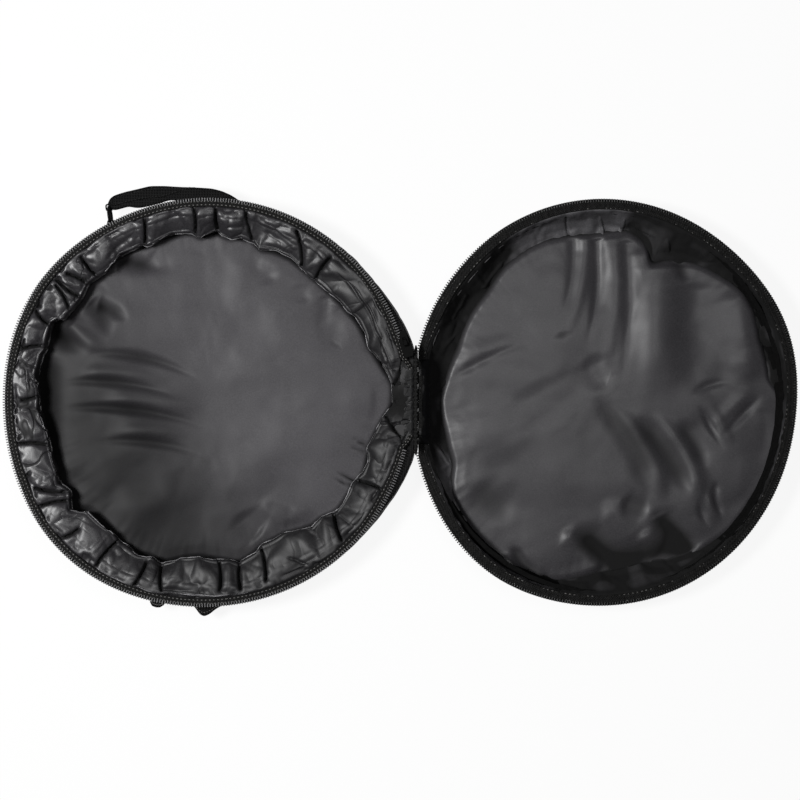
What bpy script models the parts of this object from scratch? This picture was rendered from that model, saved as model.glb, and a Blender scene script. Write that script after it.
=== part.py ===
"""Round padded case for a twelve inch pandeiro, lying open with both linings up.

Two zipped trays, a deeper base and a shallower lid, meet at a short fabric hinge. The origin is
the centre of the base's underside. +X points from the base to the lid and +Z is up.
"""

import math

import bmesh
import bpy
from mathutils import Matrix, Vector

# Driving dimensions, in metres
RIM_RADIUS = 0.180
LID_HALF_LENGTH = 0.1705
LID_HALF_WIDTH = 0.180
BASE_DEPTH = 0.042

# Hinge, whose axis lies below the base's rim as far as it lies above the lid's
HINGE_DROP = 0.004
HINGE_REACH = 0.003
LID_OVERLAP = 0.005
WALL_STANDOFF = 0.0026
FOLD_RADIUS = 0.002
HINGE_HALF_LENGTH = 0.038
WEB_THICKNESS = 0.0008
WEB_REACH = 0.014
WEB_LEG = 0.002

# Clearances
SEAT_GAP = 0.0003
LAYER_GAP = 0.0004

# Layers of the padded trays
PANEL_THICKNESS = 0.0012
FABRIC_THICKNESS = 0.0016
WALL_FOAM = 0.004
FLOOR_FOAM = 0.005
LINING_EDGE = 0.0016
LINING_CROWN = 0.003
PIPING_RADIUS = 0.0024
PIPING_LIFT = 0.0008

# Side walls, measured inwards from the rim
WALL_INSET = 0.0045
FOOT_TUCK = 0.0095
KNEE_TUCK = 0.0035
TOP_TUCK = 0.002
BASE_SWELL = 0.007
BASE_SHOULDER = 0.006
SHOULDER_ANGLE = math.radians(15)
SHOULDER_SPREAD = math.radians(14)
SWELL_POWER_SHARE = 0.7
KNEE_HEIGHT_SHARE = 0.2
WIDEST_HEIGHT_SHARE = 0.59

# Lining bands
BASE_BAND_WIDTH = 0.0325
LID_BAND_WIDTH = 0.024
BASE_LINING_TOP = 0.0032
LID_LINING_TOP = 0.0072
BASE_BAND_GAIN = -0.0146
LID_BAND_GAIN = 0.009
BASE_GAIN_POWER_SHARE = 12.0
LID_GAIN_POWER_SHARE = 2.0
BASE_LINING_SHARES = ((0.5, 0.93), (0.94, 0.62))
LID_LINING_SHARES = ((0.35, 0.5), (0.7, 0.2))

# Zip
COIL_WIDTH = 0.0032
COIL_HEIGHT = 0.003
COIL_BEVEL = 0.0008
TAPE_THICKNESS = 0.0012
TAPE_LIFT = 0.0014
BASE_TAPE_WIDTH = 0.008
LID_TAPE_WIDTH = 0.0105
BASE_BINDING_INSET = 0.006
LID_BINDING_INSET = 0.009
BASE_BINDING_WIDTH = 0.009
LID_BINDING_WIDTH = 0.010
BASE_ZIP_START = 0.042
LID_ZIP_START = 0.070

# Slider and pull
SLIDER_DISTANCE = 0.049
SLIDER_LENGTH = 0.020
SLIDER_HALF_WIDTH = 0.0052
SLIDER_PLATE = 0.0015
SLIDER_WEB = 0.0018
SLIDER_CLEARANCE = 0.00035
SLIDER_SWEEP = 0.013
CROWN_WIDTH = 0.0028
CROWN_HALF_SPAN = 0.0035
CROWN_THICKNESS = 0.0010
CROWN_LEG = 0.0013
CROWN_OPENING = 0.0024
PULL_PIVOT = 0.003
PULL_LENGTH = 0.0105
PULL_HALF_WIDTH = 0.0032
PULL_THICKNESS = 0.0014
PULL_ARM = 0.0014
PULL_WINDOW = 0.0048
PULL_ROUNDING = 0.0018

# Carry handle and strap tabs
HANDLE_LEFT_ANGLE = math.radians(118.2)
HANDLE_RIGHT_ANGLE = math.radians(80.9)
HANDLE_REACH = 0.016
HANDLE_HALF_WIDTH = 0.0055
HANDLE_END_HALF_WIDTH = 0.0026
HANDLE_HALF_THICKNESS = 0.0025
PATCH_THICKNESS = 0.001
PATCH_HALF_WIDTH = 0.008
PATCH_HEIGHT = 0.012
RING_RADIUS = 0.0075
RING_WIRE = 0.0014
RING_STANDOFF = 0.0127
LOOP_BAND = 0.0015
LOOP_HALF_HEIGHT = 0.0025
LOOP_CLEARANCE = 0.0004
LOOP_SIDE_CLEARANCE = 0.0006
TAB_ANGLE = math.radians(-92.5)
TAB_LEFT = 0.0125
TAB_RIGHT = 0.0215
TAB_REACH = 0.0137
TAB_THICKNESS = 0.0024
TAB_ROUNDING = 0.0034
STUB_ANGLE = math.radians(-104.5)
STUB_HALF_WIDTH = 0.0057
STUB_REACH = 0.011
STUB_THICKNESS = 0.003
STUB_ROUNDING = 0.0025

# Counts of facets, and the turns that shape them
RING_SEGMENTS = 48
ZIP_SEGMENTS = 46
TUBE_SIDES = 6
FOLD_SIDES = 12
WEBBING_SIDES = 8
WIRE_SEGMENTS = 20
WIRE_SIDES = 8
ROUNDING_POINTS = 5
QUARTER_TURN = math.radians(90)
HALF_TURN = math.radians(180)
SMOOTH_ANGLE = math.radians(50)
TAB_ROUND_ANGLE = math.radians(80)

# Outlines as shares of the sizes above
HANDLE_ROUTE_SHARES = (
    (0.035, 0.72, 0.94), (0.10, 0.75, 1.0), (0.24, 0.84, 1.0), (0.34, 1.0, 1.0),
    (0.55, 0.82, 1.0), (0.78, 0.62, 1.0), (0.88, 0.36, 0.6), (0.95, 0.18, 0.3),
    (0.985, 0.0, 0.0), (1.008, 0.0, 0.0),
)
SLIDER_OUTLINE_SHARES = (
    (-1.0, 0.62), (-0.8, 0.86), (-0.1, 1.0), (0.55, 0.94), (0.85, 0.72), (1.0, 0.5),
)
PANEL_TOP_SHARES = ((1.0, 0.0), (0.93, 0.7), (0.6, 1.0))

HINGE_X = RIM_RADIUS + HINGE_REACH
HINGE_Z = BASE_DEPTH - HINGE_DROP
LID_DEPTH = HINGE_Z - HINGE_DROP
PIPING_Z = PIPING_LIFT + PIPING_RADIUS
WALL_FOOT_Z = PIPING_Z + PIPING_RADIUS + SEAT_GAP
FOAM_Z = PANEL_THICKNESS + SEAT_GAP
LINING_Z = FOAM_Z + FLOOR_FOAM + SEAT_GAP
LID_CENTRE_X = HINGE_X + LID_HALF_LENGTH - LID_OVERLAP


class Tray:
    """One half of the case. Angles are seen from above, from the direction of the hinge."""

    def __init__(self, name, centre_x, facing, half_length, half_width, depth):
        self.name = name
        self.centre_x = centre_x
        self.facing = facing
        self.half_length = half_length
        self.half_width = half_width
        self.depth = depth
        self.hinge_distance = abs(HINGE_X - centre_x)
        self.swell = 0.0
        self.shoulder = 0.0

    def rim(self, angle):
        """Outer edge of the zip, an oval about the tray's centre."""
        across = self.half_width * math.cos(angle)
        along = self.half_length * math.sin(angle)
        return self.half_length * self.half_width / math.hypot(across, along)

    def wall(self, angle):
        """Widest outer face of the side wall, flat where it lies beside the hinge."""
        turn = math.atan2(math.sin(angle), math.cos(angle))
        toward = math.cos(angle)
        swell = self.swell * max(0.0, toward) ** SWELL_POWER_SHARE
        corner = (abs(turn) - SHOULDER_ANGLE) / SHOULDER_SPREAD
        radius = self.rim(angle) - WALL_INSET + swell + self.shoulder * math.exp(-corner * corner)
        face = self.hinge_distance - WALL_STANDOFF
        if toward > 0:
            radius = min(radius, face / toward)
        return radius

    def tuck(self, z):
        """How far the wall's outer face lies inside its widest line at a height."""
        knots = list(zip(self.wall_heights(WALL_FOOT_Z), (FOOT_TUCK, KNEE_TUCK, 0.0, TOP_TUCK)))
        for (low_z, low_tuck), (high_z, high_tuck) in zip(knots, knots[1:]):
            if z <= high_z:
                share = (z - low_z) / (high_z - low_z)
                return low_tuck + share * (high_tuck - low_tuck)
        return TOP_TUCK

    def wall_heights(self, foot):
        """Heights of a wall layer's profile points, from its foot to its top."""
        height = self.wall_top - WALL_FOOT_Z
        knee = WALL_FOOT_Z + KNEE_HEIGHT_SHARE * height
        widest = WALL_FOOT_Z + WIDEST_HEIGHT_SHARE * height
        return foot, knee, widest, self.wall_top

    def place(self, angle, radius, z):
        x = self.centre_x + self.facing * radius * math.cos(angle)
        return Vector((x, radius * math.sin(angle), z))

    def layer(self, angle, offset, foot):
        """Profile of a face that lies an offset inside the wall's outer face."""
        wall = self.wall(angle)
        return [(wall - self.tuck(z) - offset, z) for z in self.wall_heights(foot)]


def make_base():
    base = Tray("base", 0.0, 1, RIM_RADIUS, RIM_RADIUS, BASE_DEPTH)
    base.swell = BASE_SWELL
    base.shoulder = BASE_SHOULDER
    base.tape_z = BASE_DEPTH - TAPE_LIFT
    base.wall_top = HINGE_Z - FOLD_RADIUS + LAYER_GAP
    base.band_width = BASE_BAND_WIDTH
    base.band_gain = BASE_BAND_GAIN
    base.gain_power = BASE_GAIN_POWER_SHARE
    base.lining_top = BASE_LINING_TOP
    base.lining_shares = BASE_LINING_SHARES
    base.tape_width = BASE_TAPE_WIDTH
    base.binding_inset = BASE_BINDING_INSET
    base.binding_width = BASE_BINDING_WIDTH
    base.zip_start = BASE_ZIP_START
    return base


def make_lid():
    lid = Tray("lid", LID_CENTRE_X, -1, LID_HALF_LENGTH, LID_HALF_WIDTH, LID_DEPTH)
    lid.tape_z = LID_DEPTH - TAPE_LIFT
    lid.wall_top = HINGE_Z - SLIDER_SWEEP
    lid.band_width = LID_BAND_WIDTH
    lid.band_gain = LID_BAND_GAIN
    lid.gain_power = LID_GAIN_POWER_SHARE
    lid.lining_top = LID_LINING_TOP
    lid.lining_shares = LID_LINING_SHARES
    lid.tape_width = LID_TAPE_WIDTH
    lid.binding_inset = LID_BINDING_INSET
    lid.binding_width = LID_BINDING_WIDTH
    lid.zip_start = LID_ZIP_START
    return lid


def clear_scene():
    for thing in list(bpy.data.objects):
        bpy.data.objects.remove(thing, do_unlink=True)


def make_material(name, colour, roughness, metallic=0.0):
    material = bpy.data.materials.new(name)
    material.use_nodes = True
    shader = material.node_tree.nodes["Principled BSDF"]
    shader.inputs["Base Color"].default_value = (*colour, 1.0)
    shader.inputs["Roughness"].default_value = roughness
    shader.inputs["Metallic"].default_value = metallic
    return material


def finish_mesh(name, mesh, collection, material):
    """Turn a bmesh into a named object whose faces point out."""
    bmesh.ops.recalc_face_normals(mesh, faces=mesh.faces)
    data = bpy.data.meshes.new(name)
    mesh.to_mesh(data)
    mesh.free()
    data.materials.append(material)
    data.shade_smooth()
    data.set_sharp_from_angle(angle=SMOOTH_ANGLE)
    thing = bpy.data.objects.new(name, data)
    collection.objects.link(thing)
    return thing


def loft(name, sections, collection, material, closed=False):
    """Skin a row of like sections, round to the first again or capped at both ends."""
    mesh = bmesh.new()
    rings = [[mesh.verts.new(point) for point in section] for section in sections]
    pairs = list(zip(rings, rings[1:]))
    if closed:
        pairs.append((rings[-1], rings[0]))
    for near, far in pairs:
        for i, corner in enumerate(near):
            j = (i + 1) % len(near)
            mesh.faces.new((corner, near[j], far[j], far[i]))
    if not closed:
        mesh.faces.new(rings[0])
        mesh.faces.new(list(reversed(rings[-1])))
    return finish_mesh(name, mesh, collection, material)


def extrude_outline(name, outline, rise, collection, material):
    """Raise a flat outline, with an optional window, into a plate between two heights."""
    low = [Vector(point) for point in outline]
    high = [point + rise for point in low]
    return loft(name, [low, high], collection, material)


def tray_band(tray, suffix, section, angles, collection, material, closed=True):
    """Loft a section, a function of the angle that gives radius and height, round a tray."""
    sections = []
    for angle in angles:
        sections.append([tray.place(angle, radius, z) for radius, z in section(angle)])
    return loft(tray.name + suffix, sections, collection, material, closed)


def ring_angles():
    return [math.tau * i / RING_SEGMENTS for i in range(RING_SEGMENTS)]


def zip_angles(tray):
    """Angles of the open zip, which leaves out the stretch beside the hinge."""
    across = tray.zip_start / tray.half_width
    start = math.atan2(tray.zip_start, tray.half_length * math.sqrt(1.0 - across * across))
    sweep = math.tau - start - start
    return [start + sweep * i / ZIP_SEGMENTS for i in range(ZIP_SEGMENTS + 1)]


def tray_disc(tray, suffix, reach, profile, collection, material):
    """Loft a flat-bottomed disc from rings given as a share of its reach and a height."""
    sections = []
    for share, z in profile:
        sections.append([tray.place(angle, reach(angle) * share, z) for angle in ring_angles()])
    return loft(tray.name + suffix, sections, collection, material)


def floor_reach(tray):
    """Radius of the floor layers, which stop just inside the piping."""
    inset = FOOT_TUCK + FABRIC_THICKNESS / 2 + PIPING_RADIUS + LAYER_GAP
    return lambda angle: tray.wall(angle) - inset


def lining_foot(tray, angle):
    """Radius where the side lining meets the floor, which differs beside the hinge."""
    beside = max(0.0, math.cos(angle)) ** tray.gain_power
    return tray.rim(angle) - tray.band_width - tray.band_gain * beside


def build_floor(tray, parts, materials):
    reach = floor_reach(tray)
    panel = ((1.0, 0.0), (1.0, PANEL_THICKNESS))
    tray_disc(tray, "_outer_panel", reach, panel, parts, materials["shell"])
    foam = ((1.0, FOAM_Z), (1.0, FOAM_Z + FLOOR_FOAM))
    tray_disc(tray, "_foam_panel", reach, foam, parts, materials["foam"])
    edge_z = LINING_Z + LINING_EDGE
    crown = [(share, edge_z + LINING_CROWN * rise) for share, rise in PANEL_TOP_SHARES]
    tray_disc(
        tray, "_lining_panel", lambda angle: lining_foot(tray, angle) - LAYER_GAP,
        [(1.0, LINING_Z)] + crown, parts, materials["lining"],
    )


def build_piping(tray, parts, materials):
    def section(angle):
        centre = tray.wall(angle) - FOOT_TUCK - FABRIC_THICKNESS / 2
        points = []
        for i in range(TUBE_SIDES):
            turn = math.tau * i / TUBE_SIDES
            across = PIPING_RADIUS * math.cos(turn)
            points.append((centre + across, PIPING_Z + PIPING_RADIUS * math.sin(turn)))
        return points

    tray_band(tray, "_piping", section, ring_angles(), parts, materials["shell"])


def build_walls(tray, parts, materials):
    def wall_section(angle):
        outer = tray.layer(angle, 0.0, WALL_FOOT_Z)
        inner = tray.layer(angle, FABRIC_THICKNESS, WALL_FOOT_Z)
        return outer + inner[::-1]

    def foam_section(angle):
        offset = FABRIC_THICKNESS + LAYER_GAP
        outer = tray.layer(angle, offset, LINING_Z)
        inner = tray.layer(angle, offset + WALL_FOAM, LINING_Z)
        return outer + inner[::-1]

    def lining_section(angle):
        outer = tray.layer(angle, FABRIC_THICKNESS + WALL_FOAM + LAYER_GAP + LAYER_GAP, LINING_Z)
        top_radius, top_z = outer[-1]
        top_radius -= tray.lining_top
        foot = lining_foot(tray, angle)
        inner = [(top_radius, top_z)]
        for across, up in tray.lining_shares:
            inner.append((top_radius + across * (foot - top_radius), LINING_Z + up * (top_z - LINING_Z)))
        return outer + inner + [(foot, LINING_Z)]

    angles = ring_angles()
    tray_band(tray, "_gusset_outer", wall_section, angles, parts, materials["shell"])
    tray_band(tray, "_gusset_foam", foam_section, angles, parts, materials["foam"])
    tray_band(tray, "_gusset_lining", lining_section, angles, parts, materials["lining"])


def build_zip(tray, parts, materials):
    tape_low = tray.tape_z - TAPE_THICKNESS

    def coil_section(angle):
        outer = tray.rim(angle)
        inner = outer - COIL_WIDTH
        low = tray.depth - COIL_HEIGHT
        middle = tray.depth - COIL_HEIGHT / 2
        return [
            (outer, middle), (outer - COIL_BEVEL, tray.depth), (inner + COIL_BEVEL, tray.depth),
            (inner, middle), (inner + COIL_BEVEL, low), (outer - COIL_BEVEL, low),
        ]

    def tape_section(angle):
        outer = tray.rim(angle) - COIL_WIDTH - SEAT_GAP
        inner = outer - tray.tape_width
        return [(outer, tape_low), (outer, tray.tape_z), (inner, tray.tape_z), (inner, tape_low)]

    def binding_section(angle):
        outer = tray.rim(angle) - tray.binding_inset
        inner = outer - tray.binding_width
        low = tray.wall_top + SEAT_GAP
        high = tape_low - SEAT_GAP
        return [(outer, low), (outer, high), (inner, high), (inner, low)]

    angles = zip_angles(tray)
    tray_band(tray, "_zip_coil", coil_section, angles, parts, materials["coil"], closed=False)
    tray_band(tray, "_zip_tape", tape_section, angles, parts, materials["shell"], closed=False)
    tray_band(tray, "_rim_binding", binding_section, angles, parts, materials["shell"], closed=False)


def build_hinge(base, lid, parts, materials):
    """The folded ridge on the hinge axis, and the two fabric webs that rise to it."""
    bpy.ops.mesh.primitive_cylinder_add(
        vertices=FOLD_SIDES, radius=FOLD_RADIUS, depth=HINGE_HALF_LENGTH + HINGE_HALF_LENGTH,
        location=(HINGE_X, 0.0, HINGE_Z), rotation=(QUARTER_TURN, 0.0, 0.0),
    )
    adopt(bpy.context.object, "hinge_fold", parts, materials["shell"])
    near = FOLD_RADIUS + LAYER_GAP
    high = HINGE_Z - SEAT_GAP
    seat = base.wall_top + SEAT_GAP
    flat = [(near, seat), (near, high), (WEB_REACH, seat + WEB_THICKNESS), (WEB_REACH, seat)]
    low = lid.wall_top + SEAT_GAP
    upright = [
        (near, low), (near, high), (near + WEB_LEG, high),
        (near + WEB_LEG + WEB_LEG, low + WEB_THICKNESS), (WEB_REACH, low + WEB_THICKNESS),
        (WEB_REACH, low),
    ]
    for name, facing, profile in (("base_hinge_web", -1, flat), ("lid_hinge_web", 1, upright)):
        ends = (-HINGE_HALF_LENGTH, HINGE_HALF_LENGTH)
        sections = [[(HINGE_X + facing * reach, y, z) for reach, z in profile] for y in ends]
        loft(name, sections, parts, materials["lining"])


def adopt(thing, name, collection, material):
    """Name a primitive and move it into the model's collection."""
    thing.name = name
    thing.data.name = name
    thing.data.materials.append(material)
    thing.data.shade_smooth()
    thing.data.set_sharp_from_angle(angle=SMOOTH_ANGLE)
    for old in list(thing.users_collection):
        old.objects.unlink(thing)
    collection.objects.link(thing)


def slider_frame():
    """Matrix of the slider: X away from the base's centre, Y along the zip, Z up."""
    angle = math.asin(SLIDER_DISTANCE / RIM_RADIUS)
    turn = Matrix.Rotation(angle, 4, "Z")
    return turn @ Matrix.Translation((RIM_RADIUS, 0.0, 0.0))


def build_slider(parts, materials):
    frame = slider_frame()
    web_near = SLIDER_CLEARANCE
    centre = web_near + SLIDER_WEB / 2
    slot_low = BASE_DEPTH - COIL_HEIGHT - SLIDER_CLEARANCE
    slot_high = BASE_DEPTH + SLIDER_CLEARANCE
    low = slot_low - SLIDER_PLATE
    high = slot_high + SLIDER_PLATE

    def section(along, share):
        inner = centre - SLIDER_HALF_WIDTH * share
        outer = centre + SLIDER_HALF_WIDTH * share
        web_far = web_near + SLIDER_WEB
        corners = [
            (inner, low), (outer, low), (outer, slot_low), (web_far, slot_low),
            (web_far, slot_high), (outer, slot_high), (outer, high), (inner, high),
            (inner, slot_high), (web_near, slot_high), (web_near, slot_low), (inner, slot_low),
        ]
        return [frame @ Vector((x, along * SLIDER_LENGTH / 2, z)) for x, z in corners]

    sections = [section(along, share) for along, share in SLIDER_OUTLINE_SHARES]
    loft("slider_body", sections, parts, materials["slider"])

    foot = high + SEAT_GAP
    arch = foot + CROWN_OPENING
    near = PULL_PIVOT - CROWN_HALF_SPAN
    far = PULL_PIVOT + CROWN_HALF_SPAN
    profile = [
        (near, foot), (near + CROWN_LEG, foot), (near + CROWN_LEG, arch), (far - CROWN_LEG, arch),
        (far - CROWN_LEG, foot), (far, foot), (far, arch), (far - CROWN_LEG, arch + CROWN_THICKNESS),
        (near + CROWN_LEG, arch + CROWN_THICKNESS), (near, arch),
    ]
    sides = (centre - CROWN_WIDTH / 2, centre + CROWN_WIDTH / 2)
    sections = [[frame @ Vector((x, y, z)) for y, z in profile] for x in sides]
    loft("slider_crown", sections, parts, materials["slider"])
    build_pull(frame, centre, foot + CROWN_OPENING / 2, parts, materials)


def build_pull(frame, centre, pivot_z, parts, materials):
    """A short rounded tab with a window through which the crown passes."""
    half_bar = PULL_ARM / 2
    end = PULL_LENGTH
    outer = [
        (-PULL_HALF_WIDTH, -half_bar), (PULL_HALF_WIDTH, -half_bar),
        (PULL_HALF_WIDTH, end - PULL_ROUNDING), (PULL_HALF_WIDTH - PULL_ROUNDING, end),
        (PULL_ROUNDING - PULL_HALF_WIDTH, end), (-PULL_HALF_WIDTH, end - PULL_ROUNDING),
    ]
    hole = PULL_HALF_WIDTH - PULL_ARM
    inner = [
        (-hole, half_bar), (hole, half_bar), (hole, PULL_WINDOW),
        (hole - LAYER_GAP, PULL_WINDOW), (LAYER_GAP - hole, PULL_WINDOW), (-hole, PULL_WINDOW),
    ]
    half = PULL_THICKNESS / 2
    sections = []
    for (outer_x, outer_y), (inner_x, inner_y) in zip(outer, inner):
        corners = [(outer_x, outer_y, -half), (outer_x, outer_y, half)]
        corners += [(inner_x, inner_y, half), (inner_x, inner_y, -half)]
        sections.append([Vector(corner) for corner in corners])
    pull = loft("pull_tab", sections, parts, materials["slider"], closed=True)
    pull.matrix_world = frame @ Matrix.Translation((centre, PULL_PIVOT, pivot_z))


def wall_plate(base, name, angle, parts, material):
    """A patch sewn flat against the base's wall at its widest line."""
    middle_z = base.wall_heights(WALL_FOOT_Z)[2]
    spread = PATCH_HALF_WIDTH / base.wall(angle)
    turns = [angle - spread, angle, angle + spread]
    sections = []
    for turn in turns:
        near = base.wall(turn) + SEAT_GAP
        far = near + PATCH_THICKNESS
        z_low = middle_z - PATCH_HEIGHT / 2
        z_high = middle_z + PATCH_HEIGHT / 2
        corners = [(near, z_low), (far, z_low), (far, z_high), (near, z_high)]
        sections.append([base.place(turn, radius, z) for radius, z in corners])
    loft(name, sections, parts, material)


def link_loop(name, frame, near, far, half_hole, parts, material):
    """A flat stitched loop about a wire that stands upright between near and far."""
    corners = [(-half_hole, near), (half_hole, near), (half_hole, far), (-half_hole, far)]
    sections = []
    for x, y in corners:
        out_x = math.copysign(half_hole + LOOP_BAND, x)
        out_y = y - LOOP_BAND if y == near else y + LOOP_BAND
        ring = [(x, y, -LOOP_HALF_HEIGHT), (x, y, LOOP_HALF_HEIGHT)]
        ring += [(out_x, out_y, LOOP_HALF_HEIGHT), (out_x, out_y, -LOOP_HALF_HEIGHT)]
        sections.append([frame @ Vector(point) for point in ring])
    loft(name, sections, parts, material, closed=True)


def handle_frame(base):
    """Matrix of the handle: X along its swing axis, Y away from the wall, origin in the ring."""
    z = base.wall_heights(WALL_FOOT_Z)[2]
    left = base.place(HANDLE_LEFT_ANGLE, base.wall(HANDLE_LEFT_ANGLE) + RING_STANDOFF, z)
    seat = PATCH_THICKNESS + SEAT_GAP + LAYER_GAP + HANDLE_END_HALF_WIDTH
    right = base.place(HANDLE_RIGHT_ANGLE, base.wall(HANDLE_RIGHT_ANGLE) + SEAT_GAP + seat, z)
    span = right - left
    turn = Matrix.Rotation(math.atan2(span.y, span.x), 4, "Z")
    return Matrix.Translation(left) @ turn, span.length


def build_handle(base, parts, materials):
    frame, span = handle_frame(base)
    for name, angle in (("ring_patch", HANDLE_LEFT_ANGLE), ("handle_patch", HANDLE_RIGHT_ANGLE)):
        wall_plate(base, name, angle, parts, materials["webbing"])

    bpy.ops.mesh.primitive_torus_add(
        major_segments=WIRE_SEGMENTS, minor_segments=WIRE_SIDES,
        major_radius=RING_RADIUS, minor_radius=RING_WIRE,
    )
    ring = bpy.context.object
    adopt(ring, "handle_ring", parts, materials["slider"])
    ring.matrix_world = frame @ Matrix.Rotation(QUARTER_TURN, 4, "Y")

    chord = math.sqrt(RING_RADIUS * RING_RADIUS - LOOP_HALF_HEIGHT * LOOP_HALF_HEIGHT)
    inner = chord - RING_WIRE - LOOP_CLEARANCE
    outer = RING_RADIUS + RING_WIRE + LOOP_CLEARANCE
    half_hole = RING_WIRE + LOOP_SIDE_CLEARANCE
    link_loop("handle_end_loop", frame, inner, outer, half_hole, parts, materials["webbing"])
    flipped = frame @ Matrix.Rotation(HALF_TURN, 4, "Z")
    link_loop("ring_tab_loop", flipped, inner, outer, half_hole, parts, materials["webbing"])

    sections = []
    for along, reach, fullness in HANDLE_ROUTE_SHARES:
        half_width = HANDLE_END_HALF_WIDTH + fullness * (HANDLE_HALF_WIDTH - HANDLE_END_HALF_WIDTH)
        rounding = 1.0 / math.cos(HALF_TURN / WEBBING_SIDES)
        ring = []
        for i in range(WEBBING_SIDES):
            turn = math.tau * (i + 0.5) / WEBBING_SIDES
            y = reach * HANDLE_REACH + half_width * math.cos(turn) * rounding
            z = HANDLE_HALF_THICKNESS * math.sin(turn) * rounding
            ring.append(frame @ Vector((along * span, y, z)))
        sections.append(ring)
    loft("handle_webbing", sections, parts, materials["webbing"])


def strap_tab(base, name, angle, left, right, reach, thickness, rounding, parts, material):
    """A flat tab sewn to the wall, whose far end is rounded off between its two slanting sides."""
    z = base.wall_heights(WALL_FOOT_Z)[2] - thickness / 2
    wall = base.wall(angle)
    turns = [angle - left / wall, angle, angle + right / wall]
    near = [base.place(turn, base.wall(turn) + SEAT_GAP, z) for turn in turns]
    tip = base.place(angle, wall + reach - rounding, z)
    outward = (base.place(angle, wall + reach, z) - tip).normalized()
    across = Vector((-outward.y, outward.x, 0.0))
    arc = []
    for i in range(ROUNDING_POINTS):
        swing = TAB_ROUND_ANGLE * (1 - 2 * i / (ROUNDING_POINTS - 1))
        arc.append(tip + rounding * (math.cos(swing) * outward + math.sin(swing) * across))
    extrude_outline(name, near + arc, Vector((0.0, 0.0, thickness)), parts, material)


def build_strap_tabs(base, parts, materials):
    strap_tab(
        base, "strap_anchor_tab", TAB_ANGLE, TAB_LEFT, TAB_RIGHT, TAB_REACH,
        TAB_THICKNESS, TAB_ROUNDING, parts, materials["webbing"],
    )
    strap_tab(
        base, "strap_loop_stub", STUB_ANGLE, STUB_HALF_WIDTH, STUB_HALF_WIDTH, STUB_REACH,
        STUB_THICKNESS, STUB_ROUNDING, parts, materials["webbing"],
    )


def main():
    clear_scene()
    parts = bpy.data.collections.new("pandeiro_case")
    bpy.context.scene.collection.children.link(parts)
    materials = {
        "shell": make_material("black_woven_nylon", (0.018, 0.018, 0.020), 0.75),
        "lining": make_material("grey_satin_lining", (0.075, 0.070, 0.078), 0.38),
        "foam": make_material("padding_foam", (0.55, 0.55, 0.52), 0.9),
        "coil": make_material("zip_coil_nylon", (0.045, 0.045, 0.050), 0.35),
        "slider": make_material("black_enamel", (0.015, 0.015, 0.016), 0.45),
        "webbing": make_material("black_webbing", (0.020, 0.020, 0.022), 0.8),
    }
    base = make_base()
    lid = make_lid()
    for tray in (base, lid):
        build_floor(tray, parts, materials)
        build_piping(tray, parts, materials)
        build_walls(tray, parts, materials)
        build_zip(tray, parts, materials)
    build_hinge(base, lid, parts, materials)
    build_slider(parts, materials)
    build_handle(base, parts, materials)
    build_strap_tabs(base, parts, materials)


main()
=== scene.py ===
"""Looks of a round padded pandeiro case that lies open, seen from straight above.

All lengths are metres in the frame of the CAD part. Places that were read off the photograph are
given in its pixels, and spot() turns them into the frame at a height. An angle round a tray is
measured from the direction of the hinge, which is +X for the base and -X for the lid.
"""

import math

import bmesh
import bpy
import numpy as np
from mathutils import Matrix, Vector


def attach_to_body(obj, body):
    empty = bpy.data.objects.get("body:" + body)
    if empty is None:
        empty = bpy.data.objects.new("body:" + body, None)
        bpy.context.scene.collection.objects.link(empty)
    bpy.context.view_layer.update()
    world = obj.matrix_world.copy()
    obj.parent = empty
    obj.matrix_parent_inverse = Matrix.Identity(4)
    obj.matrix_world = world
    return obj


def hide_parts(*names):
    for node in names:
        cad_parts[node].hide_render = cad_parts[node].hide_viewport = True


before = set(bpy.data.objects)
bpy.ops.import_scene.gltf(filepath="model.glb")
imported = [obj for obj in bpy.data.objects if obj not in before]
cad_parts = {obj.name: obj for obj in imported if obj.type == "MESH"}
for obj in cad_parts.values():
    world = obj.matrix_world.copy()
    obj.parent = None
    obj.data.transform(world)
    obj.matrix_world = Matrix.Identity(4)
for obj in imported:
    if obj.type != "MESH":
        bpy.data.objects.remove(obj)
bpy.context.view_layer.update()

# Camera, straight above the middle of the photograph
CENTRE_X = 0.16896
CENTRE_Y = 0.0017
PIXEL = 0.00088
RIM_Z = 0.042
LENS = 85.0
SENSOR = 36.0
PHOTO_SIZE = 800
CAMERA_HEIGHT = PIXEL * PHOTO_SIZE * LENS / SENSOR
CAMERA_Z = RIM_Z + CAMERA_HEIGHT

# The hinge of the case
HINGE_X = 0.183
HINGE_Z = 0.038

# The side walls: how far they lie inside the rim, and how far inside that and how high their foot is
WALL_INSET = 0.0045
FOOT_INSET = 0.0095
FOOT_Z = 0.0059

# The middle of the coil lies this far under the zip's top
COIL_DROP = 0.0014
# Mean radius of the gathered bands, which turns an angle into a length along them
BAND_RADIUS = 0.155
# Thickness of satin and tape
CLOTH = 0.0005
UP = Vector((0, 0, 1))


def spot(pixel, z):
    """The place in the frame, at a height, that shows at a pixel of the photograph."""
    scale = PIXEL * (CAMERA_Z - z) / CAMERA_HEIGHT
    half = PHOTO_SIZE / 2
    return CENTRE_X + (pixel[0] - half) * scale, CENTRE_Y - (pixel[1] - half) * scale


# Where each rim bulges: degrees from the hinge, spread in degrees and metres outwards
RIM_BULGES = {
    "base": [(228, 30, 0.0055), (150, 24, 0.0030)],
    "lid": [(308, 26, 0.0050), (158, 22, 0.0045)],
}


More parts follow.
